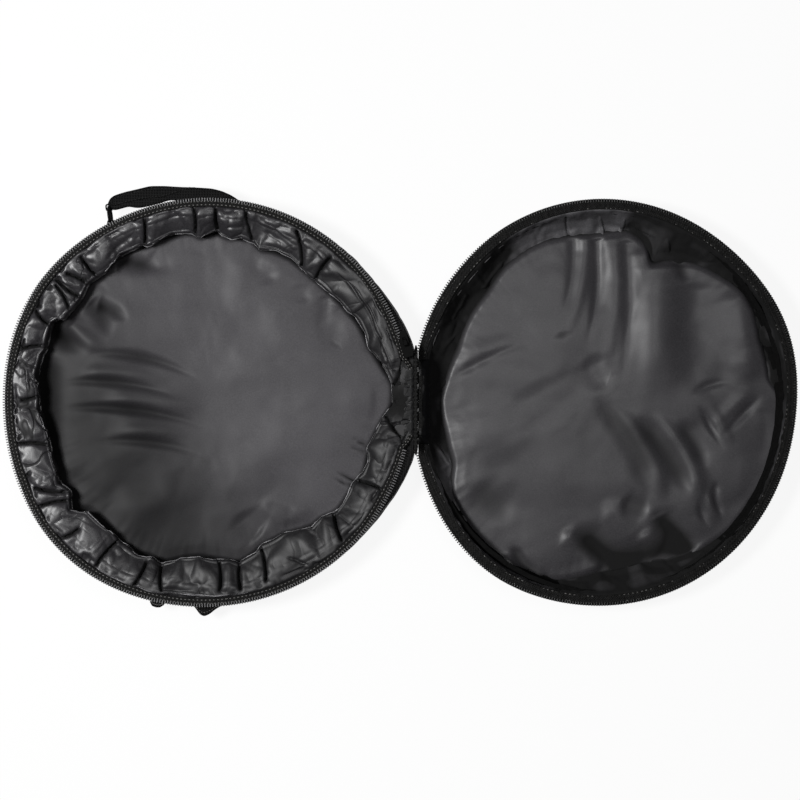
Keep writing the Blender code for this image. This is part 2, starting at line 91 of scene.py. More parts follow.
class Tray:
    """One half of the case, with the outlines that its pieces follow."""

    def __init__(self, name, centre_x, facing, half_length, half_width, depth, wall_top):
        self.name = name
        self.centre_x = centre_x
        self.facing = facing
        self.half_length = half_length
        self.half_width = half_width
        self.depth = depth
        self.wall_top = wall_top
        self.hinge_distance = abs(HINGE_X - centre_x)

    def rim(self, angle):
        """Outer edge of the zip, with the bulges that the soft case has in the photograph."""
        across = self.half_width * np.cos(angle)
        along = self.half_length * np.sin(angle)
        radius = self.half_length * self.half_width / np.hypot(across, along)
        for middle, spread, bulge in RIM_BULGES[self.name]:
            away = (np.degrees(angle) - middle + 180) % 360 - 180
            radius = radius + bulge * np.exp(-(away / spread) ** 2)
        return radius

    def wall(self, angle):
        """Widest outer face of the side wall. The base's corners beside the hinge stand out."""
        toward = np.cos(angle)
        radius = self.rim(angle) - WALL_INSET
        reach = -0.0026
        if self.name == "base":
            corner = (beside_hinge(angle) - 15) / 14
            radius = radius + 0.007 * np.maximum(toward, 0) ** 0.7 + 0.006 * np.exp(-corner * corner)
            reach = 0.0016
        return np.minimum(radius, (self.hinge_distance + reach) / np.maximum(toward, 0.05))

    def foot(self, angle):
        """Outer edge of the underside, where the piping runs."""
        return self.wall(angle) - FOOT_INSET - 0.0008

    def tuck(self, z):
        """How far the wall lies inside its widest line at a height."""
        height = self.wall_top - FOOT_Z
        knots = [FOOT_Z, FOOT_Z + 0.2 * height, FOOT_Z + 0.59 * height, self.wall_top]
        return np.interp(z, knots, [FOOT_INSET, 0.0035, 0.0, 0.002])

    def place(self, angle, radius, z):
        """Points of the frame, as an array whose last axis is X, Y and Z."""
        x = self.centre_x + self.facing * radius * np.cos(angle)
        y = radius * np.sin(angle)
        return np.stack(np.broadcast_arrays(x, y, z), axis=-1)


def beside_hinge(angle):
    """How many degrees an angle lies away from the direction of the hinge."""
    return np.degrees(np.abs(np.arctan2(np.sin(angle), np.cos(angle))))


base = Tray("base", 0.0, 1, 0.180, 0.180, 0.042, 0.0364)
lid = Tray("lid", 0.3485, -1, 0.1705, 0.180, 0.034, 0.025)


# Noise and rows of numbers

def ripple(u, v, seed, wrap=256):
    """Smooth noise between -1 and 1 over a unit grid, which repeats after wrap cells of u."""
    table = np.random.default_rng(seed).uniform(-1, 1, (wrap, 256))
    u, v = np.broadcast_arrays(u, v)
    cell_u = np.floor(u).astype(int)
    cell_v = np.floor(v).astype(int)
    ease_u, ease_v = (part ** 3 * (part * (part * 6 - 15) + 10) for part in (u - cell_u, v - cell_v))

    def row(step):
        column = (cell_v + step) % 256
        return table[cell_u % wrap, column] * (1 - ease_u) + table[(cell_u + 1) % wrap, column] * ease_u

    return row(0) * (1 - ease_v) + row(1) * ease_v


def crumple(u, v, seed, wrap=256):
    """Sharp-ridged noise between 0 and 1."""
    return (1 - np.abs(ripple(u, v, seed, wrap))) ** 2


def rise(values, start, length):
    """A share that goes from 0 at a start to 1 a length further on."""
    return np.clip((values - start) / length, 0, 1)


def hump(values, middle, width, power=2):
    """A share that is 1 at a middle and fades away on both its sides."""
    return np.exp(-(np.abs(values - middle) / width) ** power)


def circle(count):
    """Even angles all the way round."""
    return np.linspace(0, math.tau, count, endpoint=False)


def run_lengths(points):
    """How far along a row of points each of them lies."""
    steps = np.linalg.norm(np.diff(points, axis=0), axis=1)
    return np.concatenate([[0], np.cumsum(steps)])


def even_row(knots, count, passes):
    """Even points along a row of flat knots, with its corners softened."""
    knots = np.array(knots)
    lengths = run_lengths(knots)
    t = np.linspace(0, lengths[-1], count)
    row = np.stack([np.interp(t, lengths, knots[:, k]) for k in (0, 1)], axis=-1)
    for _ in range(passes):
        row[1:-1] = (row[:-2] + 2 * row[1:-1] + row[2:]) / 4
    return row


# Meshes

def show(name, data):
    """Put a new object with some data in the scene."""
    thing = bpy.data.objects.new(name, data)
    bpy.context.scene.collection.objects.link(thing)
    return thing


def mesh_object(name, points, faces, material):
    """An object with a smooth mesh of points and faces."""
    mesh = bpy.data.meshes.new(name)
    mesh.from_pydata(points.reshape(-1, 3).tolist(), [], faces)
    mesh.materials.append(material)
    mesh.shade_smooth()
    return show(name, mesh)


def grid(name, points, material, around=False, tube=False, uv_size=None, depth=None):
    """A mesh of quads through a grid of points, optionally joined at the ends of either axis."""
    points = np.asarray(points, float)
    rows, columns = points.shape[:2]
    i = np.arange(rows if around else rows - 1)[:, None]
    j = np.arange(columns if tube else columns - 1)[None, :]
    i2 = (i + 1) % rows
    j2 = (j + 1) % columns
    faces = np.stack([i * columns + j, i2 * columns + j, i2 * columns + j2, i * columns + j2], axis=-1)
    thing = mesh_object(name, points, faces.reshape(-1, 4).tolist(), material)
    if uv_size:
        u, u2 = i / i.size * uv_size[0], (i + 1) / i.size * uv_size[0]
        v, v2 = j / j.size * uv_size[1], (j + 1) / j.size * uv_size[1]
        corners = np.stack(np.broadcast_arrays(u, v, u2, v, u2, v2, u, v2), axis=-1)
        layer = thing.data.uv_layers.new(name="metres")
        layer.data.foreach_set("uv", corners.reshape(-1).astype(np.float32))
    # The depth attribute carries painted shade: the satin is darkened toward black where it is high
    if depth is not None:
        layer = thing.data.attributes.new("depth", "FLOAT", "POINT")
        layer.data.foreach_set("value", np.clip(depth, 0, 1).reshape(-1).astype(np.float32))
    return thing


def fill_holes(thing, loops):
    """Close the holes of a mesh, each of them given as the numbers of the points round it."""
    mesh = bmesh.new()
    mesh.from_mesh(thing.data)
    mesh.verts.ensure_lookup_table()
    for loop in loops:
        mesh.faces.new([mesh.verts[k] for k in loop])
    bmesh.ops.recalc_face_normals(mesh, faces=mesh.faces)
    mesh.to_mesh(thing.data)
    mesh.free()
    thing.data.shade_smooth()


def cap_ends(thing, rows, sides):
    """Close the two ends of an open tube."""
    fill_holes(thing, [range(sides), [(rows - 1) * sides + k for k in reversed(range(sides))]])


def close_middle(thing, spokes, rings):
    """Close the small hole at the middle of a disc that was built from spokes."""
    fill_holes(thing, [range(0, spokes * rings, rings)])


def solid(thing, thickness=CLOTH, offset=-1.0):
    """Give a sheet its thickness."""
    modifier = thing.modifiers.new("thickness", "SOLIDIFY")
    modifier.thickness = thickness
    modifier.offset = offset


def attach(thing, body, node=None):
    """Say which body a piece moves with, and hide the node that it replaces."""
    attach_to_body(thing, body)
    if node:
        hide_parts(node)


def pill(length, width, height, sides=6, waist=1.0):
    """A short closed bar along X with rounded ends, as points and faces."""
    stations = [(-0.94, 0.55), (-0.78, 0.9), (-0.4, waist), (0.4, waist), (0.78, 0.95), (0.94, 0.6)]
    points = []
    faces = []
    for ring, (along, size) in enumerate(stations):
        for k in range(sides):
            turn = math.tau * (k + 0.5) / sides
            across = size * math.cos(turn) * width
            points.append((along * length / 2, across / 2, size * math.sin(turn) * height / 2))
            here = ring * sides + k
            ahead = ring * sides + (k + 1) % sides
            if ring:
                faces.append((here - sides, ahead - sides, ahead, here))
    faces.append(tuple(reversed(range(sides))))
    faces.append(tuple(range(len(points) - sides, len(points))))
    return np.array(points), faces


def standing(forward, place, side=1):
    """A matrix at a place whose Y runs forward and whose Z is up."""
    forward = Vector(forward).normalized()
    matrix = Matrix((forward.cross(UP) * side, forward, UP)).transposed().to_4x4()
    matrix.translation = Vector(place)
    return np.array(matrix)


def copies(name, template, frames, material):
    """One mesh of many copies of a small template, each placed by a matrix."""
    corners, faces = template
    frames = np.array(frames)
    points = np.einsum("nij,kj->nki", frames[:, :3, :3], corners) + frames[:, None, :3, 3]
    faces = [[corner + n * len(corners) for corner in face] for n in range(len(frames)) for face in faces]
    return mesh_object(name, points, faces, material)


# Cloth

def spline_shares(place):
    """How much each of the four nearest knots counts at a place, in a smooth curve."""
    t = place - np.floor(place)
    return ((1 - t) ** 3 / 6, (3 * t ** 3 - 6 * t ** 2 + 4) / 6,
            (-3 * t ** 3 + 3 * t ** 2 + 3 * t + 1) / 6, t ** 3 / 6)


def sample(field, row, column, wraps=False):
    """The smooth value of a coarse field at places counted in its rows and columns."""
    row, column = np.broadcast_arrays(row, column)
    total = 0.0
    for i, row_share in enumerate(spline_shares(row)):
        near_row = np.floor(row).astype(int) + i - 1
        near_row = near_row % field.shape[0] if wraps else np.clip(near_row, 0, field.shape[0] - 1)
        for j, column_share in enumerate(spline_shares(column)):
            near_column = np.clip(np.floor(column).astype(int) + j - 1, 0, field.shape[1] - 1)
            total = total + field[near_row, near_column] * (row_share * column_share)[..., None]
    return total


# How the simulated satin behaves, and for how many steps it moves
SATIN_CLOTH = {"quality": 6, "mass": 0.12, "tension_stiffness": 14, "compression_stiffness": 14,
               "shear_stiffness": 4, "bending_stiffness": 0.02, "use_pressure": True}
CLOTH_STEPS = 20


def settle(name, points, held, push, growth, cap, around=True):
    """How far each point of a sheet moves, up to a cap, once it is let loose as cloth that is a little
    too big for its frame and is pushed up from below. Points with a weight of 1 in held stay put."""
    sheet = grid(name, points, satin_band, around=around)
    group = sheet.vertex_groups.new(name="held")
    weights = np.round(np.clip(held, 0, 1).reshape(-1), 2)
    for weight in np.unique(weights):
        group.add(np.flatnonzero(weights == weight).tolist(), float(weight), "REPLACE")
    cloth = sheet.modifiers.new("cloth", "CLOTH")
    for key, value in SATIN_CLOTH.items():
        setattr(cloth.settings, key, value)
    cloth.settings.vertex_group_mass = "held"
    cloth.settings.shrink_min = -growth
    cloth.settings.uniform_pressure_force = push
    cloth.settings.effector_weights.gravity = 0.0
    cloth.collision_settings.use_collision = False
    cloth.point_cache.frame_start = 1
    cloth.point_cache.frame_end = CLOTH_STEPS
    scene = bpy.context.scene
    for step in range(CLOTH_STEPS):
        scene.frame_set(step + 1)
    loose = sheet.evaluated_get(bpy.context.evaluated_depsgraph_get())
    moved = np.empty(len(sheet.data.vertices) * 3)
    loose.data.vertices.foreach_get("co", moved)
    moved = moved.reshape(points.shape) - points
    length = np.maximum(np.linalg.norm(moved, axis=-1, keepdims=True), 1e-9)
    moved *= cap * np.tanh(length / cap) / length
    mesh = sheet.data
    bpy.data.objects.remove(sheet)
    bpy.data.meshes.remove(mesh)
    scene.frame_set(1)
    return moved


# Folds

def curve_distance(points, start, end, bend, samples=17):
    """Distance of points from a bowed line, and how far along it they are, from 0 to 1."""
    start = np.array(start)
    step = np.array(end) - start
    side = np.array([-step[1], step[0]])
    t = np.linspace(0, 1, samples)
    line = start + t[:, None] * step + (4 * bend * t * (1 - t))[:, None] * side
    best = np.full(points.shape[:-1], 1e9)
    along = np.zeros(points.shape[:-1])
    for k, here in enumerate(line[:-1]):
        piece = line[k + 1] - here
        away = points - here
        share = np.clip((away @ piece) / (piece @ piece), 0, 1)
        gap = away - share[..., None] * piece
        distance = np.hypot(gap[..., 0], gap[..., 1])
        closer = distance < best
        best = np.where(closer, distance, best)
        along = np.where(closer, (k + share) / (samples - 1), along)
    return best, along


def fold_height(points, folds, z):
    """Heights of folds at points. A fold is its start, end and bend, then its half width and height
    in millimetres and the shares of its length over which its start and its end taper."""
    total = np.zeros(points.shape[:-1])
    for start, end, bend, width, height, taper_start, taper_end in folds:
        near, along = curve_distance(points, spot(start, z), spot(end, z), bend)
        swell = rise(along, 0, max(taper_start, 1e-3))
        fade = rise(1 - along, 0, max(taper_end, 1e-3))
        strength = (swell * swell * (3 - 2 * swell)) * (fade * fade * (3 - 2 * fade))
        total += 0.001 * height * strength * hump(near, 0, 0.001 * width * (0.55 + 0.45 * strength))
    return total


# Materials

def nodes_of(name):
    """A new material, its node tree and its shader."""
    material = bpy.data.materials.new(name)
    material.use_nodes = True
    return material, material.node_tree, material.node_tree.nodes["Principled BSDF"]


def feed(tree, socket, value):
    """Link a socket to another one, or give it a plain value."""
    if isinstance(value, bpy.types.NodeSocket):
        tree.links.new(value, socket)
    else:
        socket.default_value = value


def add(tree, kind, inputs, output=0, **settings):
    """Make a node, link or set its inputs, and return one of its outputs."""
    node = tree.nodes.new("ShaderNode" + kind)
    for key, value in settings.items():
        setattr(node, key, value)
    for key, value in inputs.items():
        feed(tree, node.inputs[key], value)
    return node.outputs[output]


def maths(tree, operation, *values, **settings):
    """One step of arithmetic on sockets and numbers."""
    return add(tree, "Math", dict(enumerate(values)), operation=operation, **settings)


def between(tree, share, low, high):
    """A level that goes from low to high as a share goes from 0 to 1."""
    return add(tree, "MapRange", {"Value": share, "To Min": low, "To Max": high})


def blend(tree, share, first, second):
    """A colour that goes from a first to a second one as a share goes from 0 to 1."""
    return add(tree, "Mix", {0: share, 6: first, 7: second}, 2, data_type="RGBA")


def ramp(tree, source, stops):
    """A colour that follows a source between two stops."""
    node = tree.nodes.new("ShaderNodeValToRGB")
    for element, (position, colour) in zip(node.color_ramp.elements, stops):
        element.position = position
        element.color = (*colour, 1)
    feed(tree, node.inputs["Fac"], source)
    return node.outputs["Color"]


def coords(tree, scale, uv=False):
    """Places on the object, or in metres along and across a tape, times a scale."""
    place = add(tree, "UVMap", {}, uv_map="metres") if uv else add(tree, "TexCoord", {}, "Object")
    return add(tree, "Mapping", {"Vector": place, "Scale": (scale, scale, scale)})


def noise(tree, scale, detail):
    """Noise over the object."""
    return add(tree, "TexNoise", {"Vector": coords(tree, 1), "Scale": scale, "Detail": detail}, "Fac")


def dress(tree, shader, colour, roughness, gloss, relief, strength, distance):
    """Give a shader its colour, roughness, gloss and relief."""
    feed(tree, shader.inputs["Base Color"], colour)
    feed(tree, shader.inputs["Roughness"], roughness)
    shader.inputs["Specular IOR Level"].default_value = gloss
    normal = add(tree, "Bump", {"Height": relief, "Strength": strength, "Distance": distance})
    feed(tree, shader.inputs["Normal"], normal)


# Painted shade: the colour that satin is darkened to, and the roughness it is dulled to, where its depth
# attribute marks creases, pools and shaded places
CREASE_PAINTED_SHADE = (0.0006, 0.0006, 0.0006, 1)
CREASE_ROUGHNESS = 0.95


def satin(name, dark, light, roughness, gloss, nap=None):
    """Coated satin lining: a fine weave under a soft gloss, with painted shade that makes it black and dull
    where its depth attribute is high.
    A painted gradient is a second pair of colours and a roughness, which the first give way to along a
    direction: painted light and shade across the surface."""
    material, tree, shader = nodes_of(name)
    fine = noise(tree, 900.0, 2.0)
    broad = maths(tree, "MULTIPLY", noise(tree, 14.0, 3.0), 0.45)
    mixed = maths(tree, "MULTIPLY_ADD", fine, 0.55, broad)
    colour = ramp(tree, mixed, [(0.3, dark), (0.7, light)])
    if nap:
        (start, end), direction, far_dark, far_light, far_roughness = nap
        along = add(tree, "VectorMath", {0: coords(tree, 1), 1: direction}, "Value", operation="DOT_PRODUCT")
        share = add(tree, "MapRange", {"Value": along, "From Min": start, "From Max": end},
                    interpolation_type="SMOOTHSTEP")
        colour = blend(tree, share, colour, ramp(tree, mixed, [(0.3, far_dark), (0.7, far_light)]))
        roughness = between(tree, share, roughness, far_roughness)
    # Painted shade: the depth attribute blends the colour toward black and the roughness toward dull
    depth = add(tree, "Attribute", {}, "Fac", attribute_name="depth")
    dress(tree, shader, blend(tree, depth, colour, CREASE_PAINTED_SHADE),
          between(tree, depth, roughness, CREASE_ROUGHNESS), gloss, fine, 0.25, 0.00012)
    return material


def woven(name, dark, light, roughness, pitch, gloss, uv=False):
    """Plain weave cloth or tape, whose threads cross at a pitch."""
    material, tree, shader = nodes_of(name)
    place = coords(tree, 1 / pitch, uv)

    def threads(axis):
        along = add(tree, "SeparateXYZ", {0: place}, axis)
        return maths(tree, "SINE", maths(tree, "MULTIPLY", along, math.pi))

    weave = maths(tree, "MULTIPLY", threads("X"), threads("Y"))
    if not uv:
        weave = maths(tree, "ADD", weave, maths(tree, "MULTIPLY", threads("X"), threads("Z")))
    mixed = maths(tree, "MULTIPLY_ADD", weave, 0.22, noise(tree, 520.0, 4.0))
    colour = ramp(tree, mixed, [(0.25, dark), (0.8, light)])
    dress(tree, shader, colour, roughness, gloss, weave, 0.6, 0.00022)
    return material


def enamel(name, colour, roughness, gloss=0.5):
    """Painted or moulded surface with faint handling marks."""
    material, tree, shader = nodes_of(name)
    marks = noise(tree, 420.0, 5.0)
    brighter = [min(1.0, c * 1.7) for c in colour]
    dress(tree, shader, ramp(tree, marks, [(0.35, colour), (0.75, brighter)]),
          between(tree, marks, roughness - 0.07, roughness + 0.1), gloss, marks, 0.15, 0.00008)
    return material


# The case is lined with one black satin, and these copies differ in colour only as painted light and shade.
# The base's copy is painted dark toward the bottom left and light toward the top right. The gathered band's
# copy is painted darker toward the bottom right. The lid band's lighter copy is painted light on its steep
# wall. The hem's much lighter copy paints highlight lines. The side lining's near-black copy is painted shade
# in the hinge's hollow.
satin_base = satin("satin_base_lining", (0.003, 0.0028, 0.0034), (0.009, 0.0086, 0.0096), 0.52, 0.21,
                   nap=((-0.11, 0.04), (0.8, 0.6, 0), (0.039, 0.0374, 0.041), (0.073, 0.070, 0.076), 0.42))
satin_lid = satin("satin_lid_lining", (0.023, 0.0222, 0.0248), (0.052, 0.0498, 0.0542), 0.42, 0.40)
satin_band = satin("satin_gathered_band", (0.012, 0.0114, 0.013), (0.042, 0.0405, 0.0442), 0.36, 0.46,
                   nap=((-0.10, 0.12), (0.85, -0.5, 0), (0.004, 0.0038, 0.0044), (0.018, 0.0174, 0.019),
                        0.52))
satin_lid_band = satin("satin_lid_band", (0.05, 0.049, 0.053), (0.11, 0.107, 0.114), 0.44, 0.36)
satin_hem_painted_highlight = satin("satin_hem_painted_highlight", (0.10, 0.098, 0.104), (0.24, 0.235, 0.245), 0.35, 0.6)
satin_web = satin("satin_side_lining", (0.001, 0.001, 0.0012), (0.004, 0.004, 0.0045), 0.44, 0.2)
nylon = woven("black_woven_nylon", (0.004, 0.004, 0.0042), (0.013, 0.0128, 0.0134), 0.62, 0.0008, 0.10)
webbing = woven("black_webbing", (0.0015, 0.0015, 0.0015), (0.0065, 0.0064, 0.0066), 0.6, 0.0012, 0.08)
tape_weave = woven("black_zip_tape", (0.0012, 0.0012, 0.0012), (0.0125, 0.0122, 0.012), 0.62, 0.0011, 0.10,
                   uv=True)
ribbed = woven("black_binding", (0.0008, 0.0008, 0.0008), (0.005, 0.005, 0.005), 0.62, 0.0013, 0.08, uv=True)
# Painted highlight: the base's coil is a lighter copy of the lid's dark coil, and the tape's stitch thread is
# a lighter copy of the black thread. Their colour paints the glints on teeth and stitches.
coil_nylon = enamel("zip_coil_nylon", (0.10, 0.10, 0.102), 0.30)
dark_coil = enamel("dark_zip_coil_nylon", (0.016, 0.016, 0.016), 0.34)
dark_thread = enamel("dark_thread", (0.012, 0.012, 0.012), 0.5, 0.2)
thread = enamel("black_thread", (0.075, 0.073, 0.070), 0.5)
slider_paint = enamel("black_enamel", (0.001, 0.001, 0.001), 0.62, 0.08)
foam = enamel("padding_foam", (0.004, 0.004, 0.004), 0.9, 0.05)

for name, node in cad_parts.items():
    node.data.materials.clear()
    node.data.materials.append(foam if "foam" in name else slider_paint)


# Outlines of the two padded floors, as pixels of the photograph, clockwise from the left
BASE_FLOOR_EDGE = [
    (42, 408), (43, 355), (47, 350), (53, 324), (66, 320), (83, 299), (91, 284), (107, 271), (115, 264),
    (135, 251), (143, 245), (147, 247), (192, 233), (201, 240), (217, 232), (221, 236), (232, 240),
    (242, 238), (253, 242), (260, 251), (274, 253), (290, 260), (302, 270), (315, 281), (330, 295),
    (347, 313), (357, 324), (368, 348), (381, 368), (392, 385), (391, 405), (384, 415), (377, 428),
    (368, 446), (363, 473), (354, 483), (336, 511), (322, 516), (312, 525), (298, 529), (284, 533),
    (263, 544), (256, 551), (239, 563), (228, 560), (200, 556), (182, 558), (161, 563), (153, 556),
    (140, 554), (129, 547), (122, 543), (112, 530), (90, 511), (74, 509), (73, 505), (72, 491), (60, 483),
    (59, 470), (53, 446), (49, 431),
]
LID_FLOOR_EDGE = [
    (442, 400), (448, 379), (460, 348), (470, 320), (490, 292), (507, 267), (540, 244), (592, 236),
    (629, 232), (646, 246), (650, 267), (664, 262), (700, 266), (712, 272), (740, 290), (752, 310),
    (758, 340), (768, 380), (782, 400), (781, 430), (770, 470), (752, 500), (730, 530), (700, 550),
    (670, 560), (640, 560), (600, 570), (560, 580), (526, 578), (479, 540), (452, 490), (455, 463),
    (448, 435),
]

# Folds of the floors: start and end as pixels, bend, half width and height in millimetres, and tapers
BASE_FLOOR_FOLDS = [
    ((44, 322), (92, 354), -0.04, 9, -5.4, 0, 0.7),
    ((70, 322), (108, 352), -0.05, 7, 2.2, 0.1, 0.4),
    ((84, 354), (204, 382), 0.08, 4.6, -3.6, 0.5, 0.6),
    ((80, 374), (172, 384), 0.06, 7, 2, 0.2, 0.5),
    ((56, 384), (182, 399), 0.07, 4.4, -3.2, 0.5, 0.6),
    ((100, 402), (206, 412), 0.06, 8, 2.2, 0.3, 0.4),
    ((54, 410), (222, 434), 0.07, 4.6, -3.8, 0.5, 0.6),
    ((106, 433), (192, 438), 0.06, 7, 1.8, 0.4, 0.4),
    ((90, 443), (210, 458), 0.07, 4.6, -3, 0.6, 0.6),
    ((90, 302), (110, 340), 0.10, 7, -3, 0.1, 0.5),
    ((98, 304), (130, 322), 0.05, 5.6, -3, 0.1, 0.5),
    ((118, 262), (164, 271), 0.05, 7, -4.2, 0, 0.5),
    ((46, 345), (46, 480), 0, 12, -4.4, 0.2, 0.2),
    ((242, 262), (276, 286), 0.12, 8, -1.6, 0.4, 0.3),
    ((252, 258), (290, 272), 0.06, 9, 1, 0.3, 0.4),
    ((300, 282), (306, 306), 0, 8, -1.2, 0.3, 0.4),
    ((326, 296), (316, 340), 0.06, 6, -1.6, 0.05, 0.5),
    ((340, 306), (330, 350), 0, 11, -1.2, 0.05, 0.5),
    ((330, 341), (343, 349), 0, 1.2, -0.4, 0.2, 0.3),
    ((369, 447), (350, 435), 0.05, 1.1, -2, 0.02, 0.9),
    ((366, 453), (346, 443), 0.05, 1, -1.8, 0.02, 0.9),
    ((357, 482), (331, 465), 0.06, 1.1, -2, 0.02, 0.9),
    ((353, 486), (324, 472), 0.05, 1, -1.8, 0.02, 0.9),
    ((258, 500), (318, 512), -0.08, 10, 2, 0.3, 0.3),
    ((264, 504), (296, 518), 0.05, 6, -1.4, 0.3, 0.3),
    ((284, 524), (304, 526), 0, 6, -1.4, 0.2, 0.3),
    ((238, 512), (262, 536), -0.05, 11.2, -2.4, 0.3, 0.2),
    ((100, 520), (200, 498), 0.05, 12.6, 1.3, 0.4, 0.4),
    ((60, 470), (140, 520), -0.10, 19.6, -1.9, 0.2, 0.4),
    ((150, 254), (172, 276), 0.05, 8.4, -1.1, 0.1, 0.5),
    ((378, 400), (330, 400), 0, 16.8, 1.3, 0.2, 0.5),
]
LID_FLOOR_FOLDS = [
    ((449, 381), (536, 341), 0.05, 3.8, -1.8, 0.3, 0.7),
    ((452, 370), (530, 330), 0.05, 10, 2, 0.3, 0.7),
    ((552, 340), (575, 333), 0.05, 2.2, -0.9, 0.5, 0.5),
    ((574, 238), (560, 320), 0.06, 5, -2, 0.02, 0.7),
    ((585, 236), (562, 345), 0.06, 6, 1.7, 0.02, 0.6),
    ((597, 238), (584, 350), 0.06, 5, -2.4, 0.02, 0.6),
    ((612, 236), (600, 380), 0.06, 8, 2, 0.02, 0.6),
    ((626, 240), (618, 400), 0.04, 6, -1.8, 0.02, 0.6),
    ((645, 246), (640, 420), 0.05, 13, 2.6, 0.05, 0.5),
    ((664, 262), (664, 410), 0, 18, 3.8, 0.05, 0.4),
    ((692, 280), (700, 400), 0, 20, -2.3, 0.1, 0.3),
    ((664, 234), (663, 262), 0.25, 2.6, 3, 0.05, 0.4),
    ((674, 250), (686, 286), 0.05, 6, -3, 0.1, 0.4),
    ((735, 284), (741, 392), 0.06, 15, 4.4, 0.15, 0.3),
    ((588, 354), (604, 396), 0.05, 12, -2.4, 0.3, 0.4),
    ((590, 395), (652, 500), 0.10, 10, -3, 0.3, 0.3),
    ((606, 400), (664, 506), 0.08, 9, 4, 0.3, 0.3),
    ((630, 415), (690, 500), 0.08, 8.5, -3.6, 0.3, 0.3),
    ((650, 412), (702, 512), 0.10, 8.5, 4, 0.3, 0.3),
    ((676, 420), (704, 470), 0.10, 7, -2.6, 0.3, 0.3),
    ((697, 402), (724, 450), 0, 3.4, -2.2, 0.5, 0.5),
    ((706, 398), (734, 450), 0, 6, 1.6, 0.5, 0.5),
    ((764, 392), (718, 440), 0, 3.6, -2.2, 0.4, 0.6),
    ((756, 384), (708, 430), 0, 6.5, 1.8, 0.4, 0.6),
    ((735, 383), (688, 398), -0.12, 3.6, -1.6, 0.5, 0.5),
    ((700, 494), (713, 530), -0.12, 3.4, -2.4, 0.5, 0.5),
    ((708, 484), (722, 524), -0.12, 4, 2.2, 0.5, 0.5),
    ((716, 480), (724, 518), -0.10, 3, -1.8, 0.2, 0.3),
    ((620, 500), (650, 512), 0, 8, -2.6, 0.3, 0.3),
    ((650, 521), (668, 512), 0, 1.8, 1.2, 0.3, 0.3),
    ((650, 512), (690, 556), 0.06, 10, -5.6, 0.3, 0.1),
    ((640, 530), (660, 556), 0, 9, 3.4, 0.3, 0.2),
    ((572, 524), (640, 574), -0.06, 12, -6, 0.3, 0.1),
    ((560, 530), (600, 574), 0.05, 9, 3.4, 0.2, 0.2),
    ((600, 500), (640, 548), 0.05, 10, 2.8, 0.3, 0.3),
    ((512, 546), (555, 582), -0.12, 4.5, -4, 0.15, 0.2),
    ((500, 552), (546, 580), -0.16, 7.5, 4, 0.2, 0.1),
    ((470, 486), (512, 526), 0.05, 14, -2.6, 0.3, 0.4),
    ((478, 400), (496, 470), 0, 30, 2.6, 0.3, 0.4),
    ((530, 380), (560, 430), 0, 30, -2, 0.3, 0.4),
    ((545, 218), (530, 250), 0.05, 6, -1.4, 0.2, 0.4),
    ((604, 580), (700, 546), 0.1, 11, -5, 0.3, 0.3),
]

# Creases that part the base's gathered band into puffs: outer end, inner end, depth
BASE_CREASES = [
    ((193.6, 204), (195, 236), 0.0055), ((217, 205), (219, 236), 0.0060), ((144, 214), (145, 248), 0.0065),
    ((82, 258), (103, 280), 0.0065), ((68, 274), (92, 287), 0.0050), ((58, 281), (85, 299), 0.0050),
    ((57, 286), (71, 309), 0.0035), ((34, 308), (50, 324), 0.0045), ((14, 352), (48, 346), 0.0070),
    ((22, 400), (46, 393), 0.0050), ((18, 444), (56, 446), 0.0050), ((36, 488), (75, 490), 0.0060),
    ((38, 507), (77, 500), 0.0060), ((58, 539), (80, 529), 0.0035), ((93, 572), (122, 538), 0.0065),
    ((132, 588), (147, 562), 0.0060), ((162, 590), (163, 560), 0.0060), ((220, 590), (219, 560), 0.0050),
    ((240.7, 588), (240.7, 560), 0.0055), ((266, 580), (260, 545), 0.0060), ((342, 540), (334, 512), 0.0065),
    ((384, 491), (355, 480), 0.0065), ((404, 440), (384, 412), 0.0050), ((246, 207), (255, 245), 0.0050),
    ((297, 232), (301, 273), 0.0060), ((330, 258), (315, 281), 0.0050), ((404, 352), (393, 386), 0.0050),
]
# Long folds that run along the band
BASE_BAND_FOLDS = [
    ((332, 262), (397, 374), 0.05, 1.4, 1.6, 0.1, 0.1),
    ((336, 270), (394, 378), 0.05, 1.2, -1.6, 0.1, 0.1),
    ((370, 305), (398, 366), 0.05, 1.2, 1.4, 0.2, 0.1),
    ((303, 242), (328, 262), 0.05, 1.4, 1.6, 0.1, 0.1),
    ((89, 256), (130, 226), 0.04, 2, -0.9, 0.2, 0.3),
    ((104, 262), (140, 232), 0.04, 2.2, -1.2, 0.2, 0.3),
    ((152, 226), (186, 214), 0, 2, -1, 0.2, 0.2),
    ((226, 226), (252, 228), 0.05, 1.6, -1, 0.2, 0.2),
    ((258, 222), (292, 240), 0.05, 1.4, 1, 0.2, 0.2),
    ((262, 232), (296, 252), 0.05, 1.8, -1, 0.2, 0.2),
    ((28, 362), (30, 388), 0.05, 2, -1, 0.2, 0.2),
    ((98, 574), (136, 588), -0.03, 1.6, 1.4, 0.1, 0.2),
    ((146, 588), (205, 594), -0.03, 1.6, 1.4, 0.1, 0.2),
    ((270, 572), (338, 542), -0.10, 2.2, 1.8, 0.1, 0.1),
    ((286, 558), (310, 566), 0.05, 1.4, -1.6, 0.2, 0.2),
    ((350, 525), (384, 492), -0.02, 1.2, 1.8, 0.1, 0.1),
    ((372, 500), (404, 440), -0.02, 1.4, 1.4, 0.1, 0.1),
]

